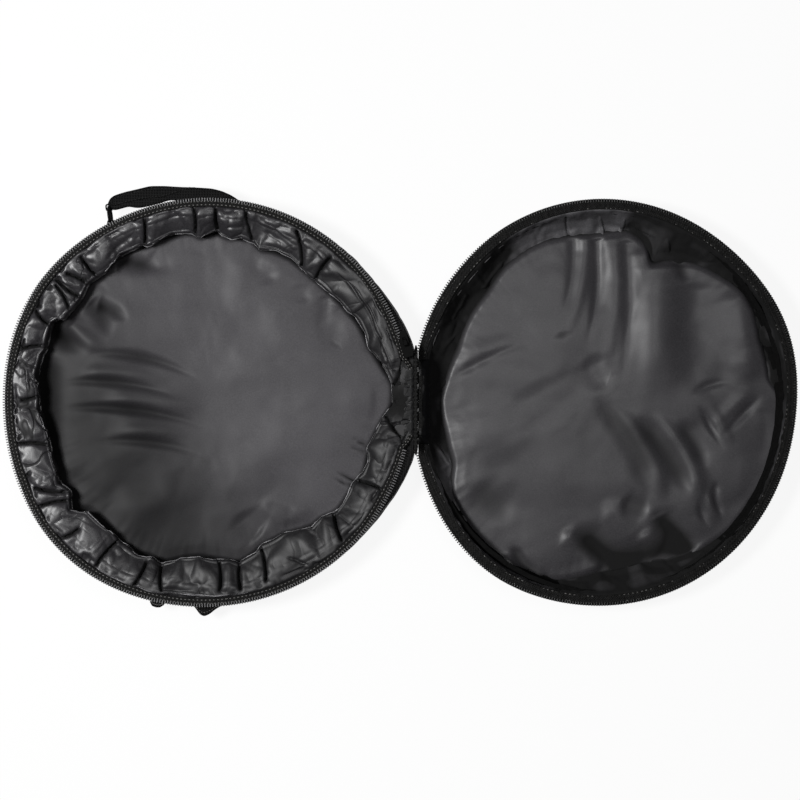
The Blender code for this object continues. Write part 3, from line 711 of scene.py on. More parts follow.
# Folds that the hinge pinches into both bands, and folds of the lid's band
HINGE_FOLDS = [
    ((380, 318), (395, 371), 0.05, 2.8, 2.2, 0.1, 0.2),
    ((384, 326), (397, 370), 0.05, 1.2, -3, 0.1, 0.2),
    ((389, 321), (400, 369), 0.05, 1.8, 2.2, 0.1, 0.2),
    ((398, 334), (406, 372), 0.05, 1.4, -3, 0.1, 0.2),
    ((403, 344), (410, 374), 0.05, 1, 1.8, 0.1, 0.2),
    ((400, 388), (413, 392), 0, 2.4, 2, 0.1, 0.3),
    ((395, 382), (412, 388), 0, 1.1, -2.6, 0.1, 0.3),
    ((392, 400), (412, 403), 0, 3, -2.6, 0.2, 0.3),
    ((380, 423), (407, 413), -0.12, 1.2, 2.2, 0.1, 0.2),
    ((388, 426), (412, 420), 0, 1.6, -3, 0.2, 0.3),
    ((386, 448), (404, 428), -0.05, 2.8, 2.4, 0.1, 0.2),
    ((398, 452), (408, 430), -0.05, 1.1, -2.6, 0.1, 0.2),
    ((404, 456), (411, 431), 0, 1.8, 2, 0.1, 0.2),
    ((441, 348), (461, 330), 0, 1.4, 1.4, 0.5, 0.5),
    ((428, 398), (462, 361), -0.05, 1.6, 1.6, 0.4, 0.5),
    ((424, 389), (440, 374), 0, 1.4, 1.2, 0.3, 0.6),
    ((422, 418), (435, 425), 0.05, 1.3, 1.3, 0.3, 0.6),
    ((424, 432), (436, 438), 0.05, 1.3, 1.1, 0.3, 0.6),
    ((425, 439), (453, 472), 0.08, 1.5, 1.8, 0.3, 0.6),
]
LID_BAND_FOLDS = [
    ((452, 320), (466, 292), -0.05, 1, 1.4, 0.1, 0.1),
    ((480, 287), (505, 258), -0.05, 1.2, 1.6, 0.1, 0.2),
    ((566, 216), (572, 242), 0, 1.2, -1.8, 0.1, 0.3),
    ((600, 216), (604, 236), 0.10, 1, 2, 0.1, 0.2),
    ((625, 215), (618, 236), 0.10, 1, 2, 0.1, 0.2),
    ((636, 222), (660, 236), 0, 1.4, 1.4, 0.2, 0.2),
    ((668, 236), (672, 252), 0, 1.4, 1.8, 0.2, 0.2),
    ((700, 244), (716, 262), 0, 1.2, 1.2, 0.2, 0.2),
    ((757, 300), (764, 330), 0, 1.2, 1.4, 0.2, 0.2),
    ((500, 565), (530, 583), 0, 1.2, 1.6, 0.2, 0.2),
]


# The padded floors

def smooth_round(values, passes):
    """Average a closed row of values with its neighbours."""
    for _ in range(passes):
        values = (np.roll(values, 1) + 2 * values + np.roll(values, -1)) / 4
    return values


def edge_radius(tray, pixels, z, angle, passes):
    """Radius of an outline of pixels at angles round a tray, where the outline lies at a height."""
    x, y = np.array([spot(pixel, z) for pixel in pixels]).T
    across = (x - tray.centre_x) * tray.facing
    radius = np.interp(angle, np.arctan2(y, across), np.hypot(across, y), period=math.tau)
    return smooth_round(radius, passes)


# How far each floor's edge rolls down, by degrees from the hinge
EDGE_ROLL = {
    "base": ([0, 60, 120, 150, 215, 240, 360], [0.004, 0.005, 0.007, 0.013, 0.013, 0.007, 0.004]),
    "lid": ([0, 60, 120, 180, 260, 360], [0.005, 0.006, 0.008, 0.005, 0.009, 0.005]),
}


def build_floor(tray, edge_pixels, folds, material, base_z, crown, bowl, slope, growth, calm, gap, seed):
    """A padded floor panel whose top carries the photograph's folds, with painted shade in its creases and
    along its edge.
    """
    rings, spokes = 91, 420
    angle = circle(spokes)[:, None]
    share = np.maximum(np.linspace(0, 1, rings) ** 0.75, 0.004)[None, :]
    reach = edge_radius(tray, edge_pixels, base_z, angle[:, 0], 3) + 0.003

    def sheet(turn, inward):
        size = np.interp(turn, angle[:, 0], reach, period=math.tau)
        places = tray.place(turn, size * inward, 0.0)
        x, y = places[..., 0], places[..., 1]
        dome = crown * (1 - np.minimum(inward, 1) ** 4)
        tilt = slope * (1 - np.cos(rise(-x, 0, 0.13) * math.pi)) / 2
        unrest = 0.0007 * ripple(x * 30, y * 30, seed) * rise(1 - inward, 0, 0.1)
        places[..., 2] = base_z + dome + tilt + unrest
        return places

    steps = np.linspace(-1.05, 1.05, 65)
    u, v = np.meshgrid(steps, steps, indexing="ij")
    inward = np.hypot(u, v)
    moved = calm * settle(tray.name + "_floor_cloth", sheet(np.arctan2(v, u), inward),
                          rise(inward, 0.88, 0.1), push=0.12, growth=growth, cap=0.008, around=False)
    scale = (len(steps) - 1) / (steps[-1] - steps[0])
    across, along = ((share * side - steps[0]) * scale for side in (np.cos(angle), np.sin(angle)))
    points = sheet(angle, share) + sample(moved, across, along)

    flat = points[..., :2]
    roll = np.interp(np.degrees(angle), *EDGE_ROLL[tray.name]) / reach[:, None]
    height = points[..., 2] + 0.85 * fold_height(flat, folds, base_z)
    height += 0.00012 * ripple(flat[..., 0] * 75, flat[..., 1] * 75, seed + 1)
    height -= bowl * rise(share, 1 - roll, roll) ** 1.6
    height += 0.0004 * crumple(angle * 34, share * 3, seed + 2, wrap=213) * rise(share, 0.8, 0.2)
    points[..., 2] = np.maximum(height, 0.0074)

    # Painted shade: narrow and deep folds are darkened toward black, and so is a margin along the floor's
    # edge, a gap's share of its radius, where the band shades it
    slits = fold_height(flat, [fold for fold in folds if fold[3] < 2.6 and fold[4] < 0], base_z)
    pools = fold_height(flat, [fold for fold in folds if fold[4] < -2.4], base_z)
    depth = np.maximum(rise(-slits, 0, 0.002), 0.95 * rise(share, 1 - gap, 0.8 * gap))
    depth = np.maximum(depth, 0.95 * rise(-pools, 0, 0.005) ** 1.3)
    top = grid(tray.name + "_lining_floor", points, material, around=True, depth=depth)
    close_middle(top, spokes, rings)
    solid(top)
    attach(top, tray.name, tray.name + "_lining_panel")


build_floor(base, BASE_FLOOR_EDGE, BASE_FLOOR_FOLDS, satin_base, base_z=0.0100, crown=0.0018, bowl=0.0030,
            slope=0.0060, growth=0.016, calm=0.12, gap=0.042, seed=11)
build_floor(lid, LID_FLOOR_EDGE, LID_FLOOR_FOLDS, satin_lid, base_z=0.0105, crown=0.0030, bowl=0.0036,
            slope=0.0, growth=0.030, calm=0.18, gap=0.028, seed=23)


# The zip's tape by degrees from the hinge: how wide it is, and how high its outer and inner edges
# lie. Beside the hinge it narrows and rises to the ridge, and under the slider it stays low.
TAPE_WIDTH = {
    "base": ([0, 8, 13, 24], [0.0030, 0.0035, 0.0055, 0.0072]),
    "lid": ([0, 8, 16, 28], [0.0032, 0.0040, 0.0070, 0.0092]),
}
TAPE_OUTER_Z = {
    "base": ([0, 9, 12], [0.0373, 0.0373, 0.0392]),
    "lid": ([0, 8, 12, 22.6, 25.5], [0.0371, 0.0371, 0.0264, 0.0264, 0.0313]),
}
TAPE_INNER_Z = {
    "base": ([0, 9, 12], [0.0375, 0.0375, 0.0405]),
    "lid": ([0, 8, 12, 22, 26.5], [0.0368, 0.0368, 0.0270, 0.0270, 0.0326]),
}
# How far inside the rim the tape starts, by degrees from the hinge, and its distance from the axis
COIL_REACH = {
    "base": ([0, 30, 40, 145, 155, 180], [0.0014, 0.0014, 0.0005, 0.0005, 0.0016, 0.0016]),
    "lid": ([17, 45, 60, 180], [0.0018, 0.0018, 0.0003, 0.0006]),
}
HINGE_SEAM = 0.0022
BAND_START = 0.0009


def by_hinge(angle, table):
    """A value from a table by degrees from the hinge."""
    return np.interp(beside_hinge(angle), *table)


def tape_outer(tray, angle):
    """Radius of the tape's outer edge, which leaves the coil's line to run along the hinge."""
    zipped = tray.rim(angle) - by_hinge(angle, COIL_REACH[tray.name])
    seam = (tray.hinge_distance - HINGE_SEAM) / np.maximum(np.cos(angle), 0.05)
    if tray.name == "lid":
        return np.minimum(zipped, seam)
    leave = by_hinge(angle, ([9.5, 13.0], [1.0, 0.0]))
    return zipped * (1 - leave) + seam * leave


def tape_inner(tray, angle):
    """Radius of the tape's inner edge."""
    return tape_outer(tray, angle) - by_hinge(angle, TAPE_WIDTH[tray.name])


# The gathered bands between the rim and the floors

def surface_normals(points):
    """Normals of a grid that closes along its first axis, pointing up."""
    along = np.roll(points, -1, axis=0) - np.roll(points, 1, axis=0)
    normal = np.cross(along, np.gradient(points, axis=1))
    normal /= np.linalg.norm(normal, axis=-1, keepdims=True) + 1e-12
    return normal * np.where(normal[:, :1, 2:] < 0, -1.0, 1.0)


def blow_up(name, points, held, coarse, push, growth, cap):
    """A band's points after a sheet with every few of its rows and columns has settled as cloth."""
    u, v = coarse
    rows, columns = held.shape
    moved = settle(name, points[::u, ::v], held[::u, ::v], push, growth, cap)
    return points + sample(moved, np.arange(rows)[:, None] / u, np.arange(columns)[None, :] / v, wraps=True)


def raised(flat, z):
    """Points over flat ones, at heights."""
    return np.concatenate([flat, np.broadcast_to(z, flat.shape[:-1])[..., None]], axis=-1)


def hem(name, tray, route, thick, seed):
    """A thin rolled edge along a route round a tray, which thins out here and there, in a much lighter satin
    that paints a highlight line.
    """
    outward = route[:, :2] - np.array([tray.centre_x, 0.0])
    outward /= np.linalg.norm(outward, axis=-1, keepdims=True)
    run = np.arange(len(route)) * 0.08
    size = thick * np.clip(0.75 + 0.9 * ripple(run, 0, seed), 0.12, 1.2)[:, None]
    turns = circle(6)[None, :]
    ring = raised(outward[:, None, :] * (size * np.cos(turns))[..., None], size * np.sin(turns))
    cord = grid(name, route[:, None, :] + ring, satin_hem_painted_highlight, tube=True)
    cap_ends(cord, len(route), 6)
    attach(cord, tray.name)


def base_band_shape(angle, rows):
    """The band without its folds: it bulges beside the tape, slopes down and rolls under its lip."""
    edge = edge_radius(base, BASE_FLOOR_EDGE, 0.022, angle, 5)
    inset = [0.0, 0.03, 0.08, 0.30, 0.36, 0.42, 0.84, 0.90, 0.935, 0.97, 1.0, 1.0, 0.97, 0.90]
    steep = [0.0374, 0.0386, 0.0392, 0.0386, 0.0370, 0.0366, 0.0300, 0.0284, 0.0286, 0.0282, 0.0262,
             0.0215, 0.0145, 0.0084]
    level = [0.0374, 0.0386, 0.0392, 0.0391, 0.0388, 0.0386, 0.0362, 0.0350, 0.0354, 0.0350, 0.0325,
             0.0260, 0.0155, 0.0084]
    steep, level = (even_row(list(zip(inset, heights)), rows, 2) for heights in (steep, level))
    flatter = np.interp(np.degrees(angle), [0, 100, 135, 215, 240, 360], [0.35, 0.1, 1.0, 1.0, 0.2, 0.35])
    flatter = flatter[:, None, None]
    row = steep * (1 - flatter) + level * flatter
    inset = row[..., 0]
    outer = tape_inner(base, angle) + BAND_START
    radius = outer[:, None] + (edge - outer)[:, None] * inset
    low = by_hinge(angle, ([9, 13], [0.0012, 0.0]))[:, None]
    ceiling = by_hinge(angle, ([10.5, 14], [0.0378, 0.0420]))[:, None]
    height = np.minimum(row[..., 1] - low * (1 - rise(inset, 0, 0.3)), ceiling - 0.0006)
    return base.place(angle[:, None], radius, height), ceiling


def base_creases(flat):
    """How far points lie from the creases, how deep the creases are there, and how much painted shade darkens
    them.
    """
    nearest = np.ones(flat.shape[:-1])
    valley = np.zeros(nearest.shape)
    dark = np.zeros(nearest.shape)
    for k, (outer_end, inner_end, fall) in enumerate(BASE_CREASES):
        near, _ = curve_distance(flat, spot(outer_end, 0.036), spot(inner_end, 0.026), 0.06 * (-1) ** k, 9)
        nearest = np.minimum(nearest, near * (0.0055 / fall))
        valley = np.maximum(valley, 1.15 * fall * hump(near, 0, 0.00085))
        # Painted shade along each crease
        dark = np.maximum(dark, hump(near, 0, 0.0014))
    return nearest, valley, dark


def base_band():
    """Puffs of satin, parted by deep creases, that roll over above the floor's edge."""
    columns, rows = 2200, 66
    angle = circle(columns)
    turn = angle[:, None]
    share = np.linspace(0, 1, rows)[None, :]
    points, ceiling = base_band_shape(angle, rows)
    flat = points[..., :2]
    nearest, valley, depth = base_creases(flat)
    held = hump(nearest, 0, 0.0022) + (share < 0.06) + (share > 0.93)
    points = blow_up("base_band_cloth", points, held, (5, 5), push=3.0, growth=0.05, cap=0.005)

    belly = np.clip(np.sin(math.pi * np.clip(share * 1.12, 0, 1)), 0, 1) ** 0.6
    inside = np.clip(belly * 1.8, 0, 1)
    fullness = 1 - hump(nearest, 0, 0.0030, 1.6)
    along = turn * BAND_RADIUS
    across = share * 0.045
    side = 0.5 - 0.5 * np.tanh((np.abs(np.degrees(turn) - 172) - 40) / 8)
    pockets = np.clip(ripple(along * 230 + across * 60, across * 130, 5, wrap=224) * 2.6 - 0.55, 0, 1)
    pockets *= hump(share, 0.07, 0.10) * (0.35 + side)
    warp = 0.6 * ripple(along * 60, across * 60, 8, wrap=58)
    tucks = np.clip(crumple(along * 62 + warp, across * 34 + 2 * warp, 9, wrap=60) * 4 - 3, 0, 1)
    tucks *= (0.12 + 0.88 * side) * rise(share, 0, 0.15) * rise(0.92 - share, 0, 0.1)
    pulls = 0.0008 * ripple(along * 70 + across * 30, across * 34, 6, wrap=68) * fullness
    soft = 0.0010 * ripple(along * 38, across * 60, 7, wrap=37)
    # Painted shade: the depth attribute also darkens the pockets and tucks, and the band beside the hinge
    depth = np.maximum(depth, np.maximum(pockets, 0.75 * tucks)) * inside
    depth = np.maximum(depth, 0.96 * hump(beside_hinge(turn), 0.3, 5.2, 4) * rise(share, 0, 0.2))
    lift = 0.0028 * fullness * belly - valley * inside - 0.0030 * pockets - 0.0016 * tucks + pulls + soft
    lift += fold_height(flat, BASE_BAND_FOLDS + HINGE_FOLDS, 0.034)
    lift *= rise(share, 0, 0.05)
    room = np.maximum(0.0412 - points[..., 2], 0.0001)
    lift = np.where(lift > 0, room * np.tanh(lift / room), lift)
    points = points + surface_normals(points) * lift[..., None]
    points[..., 2] = np.minimum(points[..., 2], ceiling)

    reach = np.hypot(points[..., 0] - base.centre_x, points[..., 1])
    lip = 36 + np.argmin(reach[:, 36:62], axis=1)
    hem("base_band_hem", base, points[np.arange(columns), lip][:-12], 0.00060, 91)
    seam = points[columns * 236 // 360:columns * 282 // 360, 5]
    hem("base_band_seam", base, seam + [0, 0, 0.0003], 0.00050, 92)
    band = grid("base_gathered_band", points, satin_band, around=True, depth=depth)
    solid(band)
    attach(band, "base", "base_gusset_lining")


# Painted shade on the lid's band, by degrees from the hinge: how far its colour is darkened toward black
# where it lies in shadow
LID_BAND_PAINTED_SHADE = ([0, 20, 57, 63, 96, 100, 126, 176, 186, 218, 282, 290, 332, 345, 360],
                 [1.1, 1.1, 1.05, 0.0, 0.0, 1.08, 1.08, 1.05, 0.3, 1.08, 1.08, 0.0, 0.0, 1.05, 1.1])


def lid_band():
    """The lid's shallow side lining, which drops from the ring to the floor."""
    columns, rows = 1600, 44
    angle = circle(columns)
    turn = angle[:, None]
    share = np.linspace(0, 1, rows)[None, :]
    outer = tape_inner(lid, angle) + BAND_START
    edge = np.minimum(edge_radius(lid, LID_FLOOR_EDGE, 0.013, angle, 5), outer - 0.0035)
    gentle = even_row([(0.0, 0.0300), (0.05, 0.0312), (0.11, 0.0313), (0.18, 0.0290), (0.30, 0.0200),
                       (0.6, 0.0120), (0.85, 0.0100), (1.0, 0.0088), (1.15, 0.0078)], rows, 2)
    steep = even_row([(0.0, 0.0300), (0.03, 0.0312), (0.065, 0.0314), (0.10, 0.0295), (0.35, 0.0180),
                      (0.65, 0.0105), (0.9, 0.0074), (1.05, 0.0068), (1.12, 0.0068)], rows, 2)
    mix = rise(outer - edge, 0.006, 0.010)[:, None]
    inset, height = (gentle[:, k] * (1 - mix) + steep[:, k] * mix for k in (0, 1))
    lower = by_hinge(turn, ([0, 8, 12.6, 22, 26.5], [0.0052, 0.0052, -0.0045, -0.0045, 0.0]))
    height = height + lower * rise(height, 0.008, 0.022)
    points = lid.place(turn, outer[:, None] + (edge - outer)[:, None] * inset, height)
    flat = points[..., :2]
    held = np.broadcast_to(np.where((share < 0.10) | (share > 0.93), 1.0, 0.0), height.shape)
    points = blow_up("lid_band_cloth", points, held, (5, 4), push=2.0, growth=0.04, cap=0.003)

    along = turn * BAND_RADIUS
    belly = np.sin(math.pi * share)
    lift = 0.0008 * crumple(along * 120, share * 2.5, 15, wrap=117) * belly * (1 - 0.8 * mix)
    lift += 0.0008 * ripple(along * 45, share * 2, 16, wrap=44) * belly
    lift += 0.0011 * ripple(along * 170, 0.5, 17, wrap=166) * hump(share, 0.12, 0.08)
    lift += fold_height(flat, LID_BAND_FOLDS + HINGE_FOLDS, 0.026) * rise(share, 0, 0.1)
    lift = np.where(height > 0.024, np.minimum(lift, 0.0012), lift)
    points = points + surface_normals(points) * lift[..., None]
    seam = points[columns * 12 // 360:columns * 64 // 360, 6]
    hem("lid_band_hem", lid, seam + [0, 0, 0.0003], 0.00055, 93)
    # Painted shade, made uneven by noise
    dark = np.interp(np.degrees(turn), *LID_BAND_PAINTED_SHADE)
    depth = np.clip(dark + 0.35 * ripple(along * 70, share * 4, 18, wrap=68), 0, 0.97)
    band = grid("lid_gathered_band", points, satin_lid_band, around=True, depth=depth)
    solid(band)
    attach(band, "lid", "lid_gusset_lining")


# Walls, piping and undersides

def outer_wall(tray, seed):
    """The outer fabric of the side wall, with faint vertical puckers and a lip that turns in."""
    angle = circle(480)[:, None]
    share = np.linspace(0, 1, 22)[None, :]
    z = 0.0060 + (tray.wall_top - 0.0060) * share
    radius = tray.wall(angle) - tray.tuck(z) - 0.0001
    radius = radius - 0.0006 * crumple(angle * 15.3, share * 2, seed, wrap=96) * np.sin(math.pi * share)
    radius = radius + 0.0004 * ripple(angle * 5.1, share * 3, seed + 1, wrap=32)
    top = radius[:, -1:]
    inner = np.minimum(tray.rim(angle) - 0.0066, top - 0.002)
    share = np.linspace(0, 1, 6)[None, 1:]
    lip = tray.place(angle, top + (inner - top) * share, tray.wall_top + 0.0001 * np.sin(math.pi * share))
    points = np.concatenate([tray.place(angle, radius, z), lip], axis=1)
    wall = grid(tray.name + "_outer_wall", points, nylon, around=True)
    solid(wall, 0.0006, -tray.facing)
    attach(wall, tray.name, tray.name + "_gusset_outer")


def ring_tube(name, node, tray, angle, centre, z, wide, high, material, seed):
    """A slightly uneven tube round a tray, given by its middle line and its half width and height."""
    turns = circle(12)[None, :]
    wobble = 1 + 0.03 * ripple(angle * 30, 0, seed, wrap=188)
    points = tray.place(angle, centre + wide * wobble * np.cos(turns), z + high * wobble * np.sin(turns))
    size = (0.18 * math.tau, math.tau * wide)
    tube = grid(tray.name + name, points, material, around=True, tube=True, uv_size=size)
    attach(tube, tray.name, tray.name + node)


def piping(tray):
    """The cord round the foot of the wall."""
    angle = circle(400)[:, None]
    ring_tube("_edge_piping", "_piping", tray, angle, tray.foot(angle), 0.0032, 0.0023, 0.0023, nylon, 31)


def underside(tray):
    """The flat outer panel that the case stands on."""
    spokes, rings = 192, 12
    angle = circle(spokes)[:, None]
    share = np.linspace(0.01, 1, rings)[None, :]
    z = 0.0017 - 0.0006 * rise(share, 0.97, 0.03) ** 2
    points = tray.place(angle, (tray.foot(angle) - 0.0028) * share, z)
    panel = grid(tray.name + "_underside", points, nylon, around=True)
    close_middle(panel, spokes, rings)
    solid(panel, 0.0010)
    attach(panel, tray.name, tray.name + "_outer_panel")


for tray, seed in ((base, 41), (lid, 43)):
    outer_wall(tray, seed)
    piping(tray)
    underside(tray)

base_band()
lid_band()


# The zip

def even_turns(tray, line, fine, pitch, first=0.0):
    """Angles, found among fine ones, whose places on a line round a tray are a pitch apart."""
    lengths = run_lengths(tray.place(fine, line(fine), 0.0))
    count = int(lengths[-1] / pitch)
    return np.interp(np.arange(count) * lengths[-1] / count + first, lengths, fine)


def frames_along(tray, line, turns, z, step, side=1):
    """Matrices on a line round a tray, whose Y runs along it and whose Z is up."""
    here = tray.place(turns, line(turns), z)
    ahead = tray.place(turns + step, line(turns + step), z)
    return [standing(forward, place, side) for forward, place in zip(ahead - here, here)]


def coil_teeth(tray, material, start, climb):
    """The zip's coil. It starts beside the hinge, where it climbs at most a little over the tape."""
    pitch, tooth = 0.00235, 0.0034
    across = start / tray.half_width
    first = math.atan2(start, tray.half_length * math.sqrt(1 - across * across))

    def line(angle):
        return tray.rim(angle) - tooth / 2

    turns = even_turns(tray, line, np.linspace(first, math.tau - first, 4000), pitch, pitch / 2)
    z = np.minimum(tray.depth - COIL_DROP, by_hinge(turns, TAPE_OUTER_Z[tray.name]) + climb)
    frames = frames_along(tray, line, turns, z, 0.001, tray.facing)
    template = pill(tooth, 0.00138, 0.0024, sides=8, waist=0.86)
    teeth = copies(tray.name + "_coil_teeth", template, frames, material)
    attach(teeth, tray.name, tray.name + "_zip_coil")


def woven_tape(tray, seed):
    """The zip's tape, with a few ribs, that rises from the coil to its sewn inner edge."""
    turn = circle(1600)[:, None]
    share = np.linspace(0, 1, 12)[None, :]
    outer = tape_outer(tray, turn)
    low = by_hinge(turn, TAPE_OUTER_Z[tray.name])
    high = by_hinge(turn, TAPE_INNER_Z[tray.name])
    wave = 0.0002 * ripple(turn * 30, 0, seed, wrap=188) + 0.00015 * ripple(turn * 120, 0, seed + 1, wrap=754)
    z = low + (high - low + wave) * rise(share, 0, 0.25) + 0.00018 * np.cos(share * math.tau * 3)
    points = tray.place(turn, outer - (outer - tape_inner(tray, turn)) * share, z)
    tape = grid(tray.name + "_woven_tape", points, tape_weave, around=True, uv_size=(1.11, 0.009))
    solid(tape)
    attach(tape, tray.name, tray.name + "_zip_tape")


def stitch_row(name, tray, share, length, pitch):
    """Short threads along the tape, at a share of its width from its outer edge."""
    def line(angle):
        outer = tape_outer(tray, angle)
        return outer - (outer - tape_inner(tray, angle)) * share

    turns = even_turns(tray, line, np.linspace(0, math.tau, 6000), pitch)
    turns = turns[beside_hinge(turns) > 9]
    z = by_hinge(turns, TAPE_INNER_Z[tray.name]) + 0.00015
    frames = frames_along(tray, line, turns, z, 0.002)
    attach(copies(name, pill(0.0008, length, 0.0006), frames, thread), tray.name)


def binding(tray, seed):
    """The ribbed strip under the tape's inner edge."""
    angle = circle(800)[:, None]
    ceiling = by_hinge(angle, TAPE_INNER_Z[tray.name]) - 0.0007
    high = np.maximum((ceiling - tray.wall_top - 0.0003) / 2, 0.0004)
    centre = tape_inner(tray, angle) + 0.0012
    ring_tube("_binding", "_rim_binding", tray, angle, centre, ceiling - high, 0.0011, high, ribbed, seed)


def build_zip(tray, coil, start, climb, rows, seed):
    """Coil teeth, tape with rows of stitches, and binding. A row is the share of the tape's width
    where it lies, then the length and the pitch of its stitches."""
    coil_teeth(tray, coil, start, climb)
    woven_tape(tray, seed)
    for number, (share, length, pitch) in enumerate(rows):
        stitch_row(f"{tray.name}_stitches_{number}", tray, share, length, pitch)
    binding(tray, seed)


build_zip(base, coil_nylon, start=0.042, climb=0.0030, seed=51,
          rows=[(0.40, 0.0016, 0.0030), (0.80, 0.0021, 0.0036)])
build_zip(lid, dark_coil, start=0.0445, climb=0.0013, seed=61,
          rows=[(0.30, 0.0016, 0.0030), (0.90, 0.0024, 0.0040)])


# The hinge

def ridge():
    """The stitched ridge over the hinge axis."""
    columns, rows = 260, 13
    y = np.linspace(-0.047, 0.050, columns)[:, None]
    turns = circle(rows)[None, :]
    ends = np.clip(np.minimum(y + 0.0475, 0.0505 - y) / 0.008, 0.1, 1) ** 0.5
    swell = 0.0019 * (1 + 0.06 * ripple(y * 400, 0, 71)) * ends
    x, y, z = np.broadcast_arrays(HINGE_X + swell * np.cos(turns), y, HINGE_Z + swell * np.sin(turns))
    fold = grid("hinge_ridge", np.stack([x, y, z], axis=-1), tape_weave, tube=True, uv_size=(0.082, 0.012))
    cap_ends(fold, columns, rows)
    attach(fold, "base", "hinge_fold")

    frames = [standing((0, 1, 0), (HINGE_X + side * 0.0009, -0.0410 + k * 0.0037, HINGE_Z + 0.00175))
              for side in (-1, 1) for k in range(24)]
    stitches = copies("hinge_stitches", pill(0.0008, 0.0022, 0.0006), frames, dark_thread)
    attach(stitches, "base")


# Each web's section: distance from the hinge axis and height, from the wall up to the ridge and in
WEB_ROUTE = {
    "base": [(0.0013, 0.0368), (0.0022, 0.0373), (0.0040, 0.0377), (0.0080, 0.0376), (0.0135, 0.0372)],
    "lid": [(0.0024, 0.0258), (0.0022, 0.0315), (0.0021, 0.0366), (0.0048, 0.0366), (0.0085, 0.0345),
            (0.0120, 0.0305)],
}


def hinge_web(body, facing, sink, swell):
    """The gathered fabric on one side of the ridge, whose folds sink and swell by so much at most."""
    half, rows = 0.0380, 34
    y = np.linspace(-half, half, 240)[:, None]
    share = np.linspace(0, 1, rows)[None, :]
    reach, height = np.array(WEB_ROUTE[body]).T
    knots = np.arange(len(height))
    place = np.linspace(0, knots[-1], rows)[None, :]
    x = HINGE_X + facing * np.interp(place, knots, reach)
    z = np.interp(place, knots, height)
    flat = np.stack(np.broadcast_arrays(x, y), axis=-1)
    pinch = 0.0005 * crumple(y * 420 + share * 2, share * 3, 73) * np.sin(math.pi * share)
    folds = 0.5 * fold_height(flat, HINGE_FOLDS, 0.037) * rise(share, 0.3, 0.3)
    lift = np.clip(pinch + folds, -sink, swell)
    ends = rise(half - np.abs(y), 0, 0.009) ** 0.7
    lowest = min(height)
    web = grid(body + "_hinge_gather", raised(flat, lowest + (z + lift - lowest) * ends), satin_web)
    solid(web, 0.0004, 0.0)
    attach(web, body, body + "_hinge_web")


ridge()
hinge_web("base", -1, sink=0.0004, swell=0.0002)
hinge_web("lid", 1, sink=0.0012, swell=0.0010)


# The carry handle and the strap points

# Where the handle is seen in the photograph, as pixels along its outer and its inner edge, and the
# two edges of the second layer that is folded over its left half
HANDLE_Z = 0.023895
HANDLE_OUTER = [(108, 204), (109.5, 199), (114, 195.5), (125, 192), (138, 189), (150, 186), (165, 186),
                (180, 187), (197, 187.5), (212, 188.5), (222, 191), (232, 195.5), (240, 201)]
HANDLE_INNER = [(108.5, 206), (110, 209.5), (115, 210.5), (122, 208.5), (129, 206.5), (135, 208), (141, 208),
                (150, 206), (160, 203.5), (167, 201), (172, 200), (180, 201.5), (197, 203), (212, 203),
                (222, 204), (232, 205), (240, 206)]
LAP_INNER = [(113, 206), (125, 203), (140, 199.5), (152, 198), (163, 197.3), (171, 194.5), (178, 191.8),
             (187, 189), (194, 187.6)]
LAP_OUTER = [(112, 199), (116, 196.8), (125, 193.6), (138, 190.6), (150, 187.8), (165, 187.2), (180, 187.4),
             (195, 187.3)]
# The outlines of the two tabs at the bottom edge, as pixels
ANCHOR_TIP = [(193, 605), (196, 609), (200, 614.5), (204, 616.5), (209, 614.5), (216, 609), (223, 605)]
STUB_TIP = [(150, 602), (152, 606), (156, 607.5), (160, 607.5), (164, 605)]


def even_route(pixels, z, count):
    """Even points along a row of pixels, in the frame."""
    return even_row([spot(pixel, z) for pixel in pixels], count, 4)


def square_off(wave, power):
    """A sine or cosine that stays longer near its ends, which makes a circle a rounded box."""
    return np.copysign(np.abs(wave) ** power, wave)


def slab(name, inner, outer, low, high, sides):
    """A flat strap of webbing between two rows of points, rounded at its two edges."""
    turns = circle(sides)
    across = square_off(np.cos(turns), 0.45)
    middle = (inner + outer) / 2
    flat = middle[:, None, :] + (outer - inner)[:, None, :] / 2 * across[None, :, None]
    bulge = square_off(np.sin(turns), 0.5) * (1 - 0.12 * hump(across, 0, 0.3))
    points = raised(flat, (low + high) / 2 + (high - low) / 2 * bulge)
    thing = grid(name, points, webbing, tube=True, uv_size=(0.13, 0.024))
    cap_ends(thing, len(middle), sides)
    return thing


def strap_stitches(name, body, routes, numbers, z, length, material):
    """Short threads along flat routes, at some of their points."""
    frames = []
    for route in routes:
        for k in numbers:
            x, y = route[k + 1] - route[k]
            frames.append(standing((-y, x, 0), (*route[k], z)))
    attach(copies(name, pill(length, 0.0006, 0.0005), frames, material), body)


def handle():
    """Folded webbing between a sewn end and a ring, with a second layer over its left half."""
    top = HANDLE_Z + 0.0022
    inner = even_route(HANDLE_INNER, HANDLE_Z, 90)
    outer = even_route(HANDLE_OUTER, HANDLE_Z, 90)
    strap = slab("handle_strap", inner, outer, HANDLE_Z - 0.0024, top, 24)
    attach(strap, "handle", "handle_webbing")

    inner = even_route(LAP_INNER, top, 50)
    outer = even_route(LAP_OUTER, top, 50)
    attach(slab("handle_lap", inner, outer, top - 0.0002, top + 0.0009, 16), "handle")
    routes = [inner + (outer - inner) * share for share in (0.12, 0.88)]
    strap_stitches("handle_stitches", "handle", routes, range(2, 47, 2), top + 0.0010, 0.0017, dark_thread)


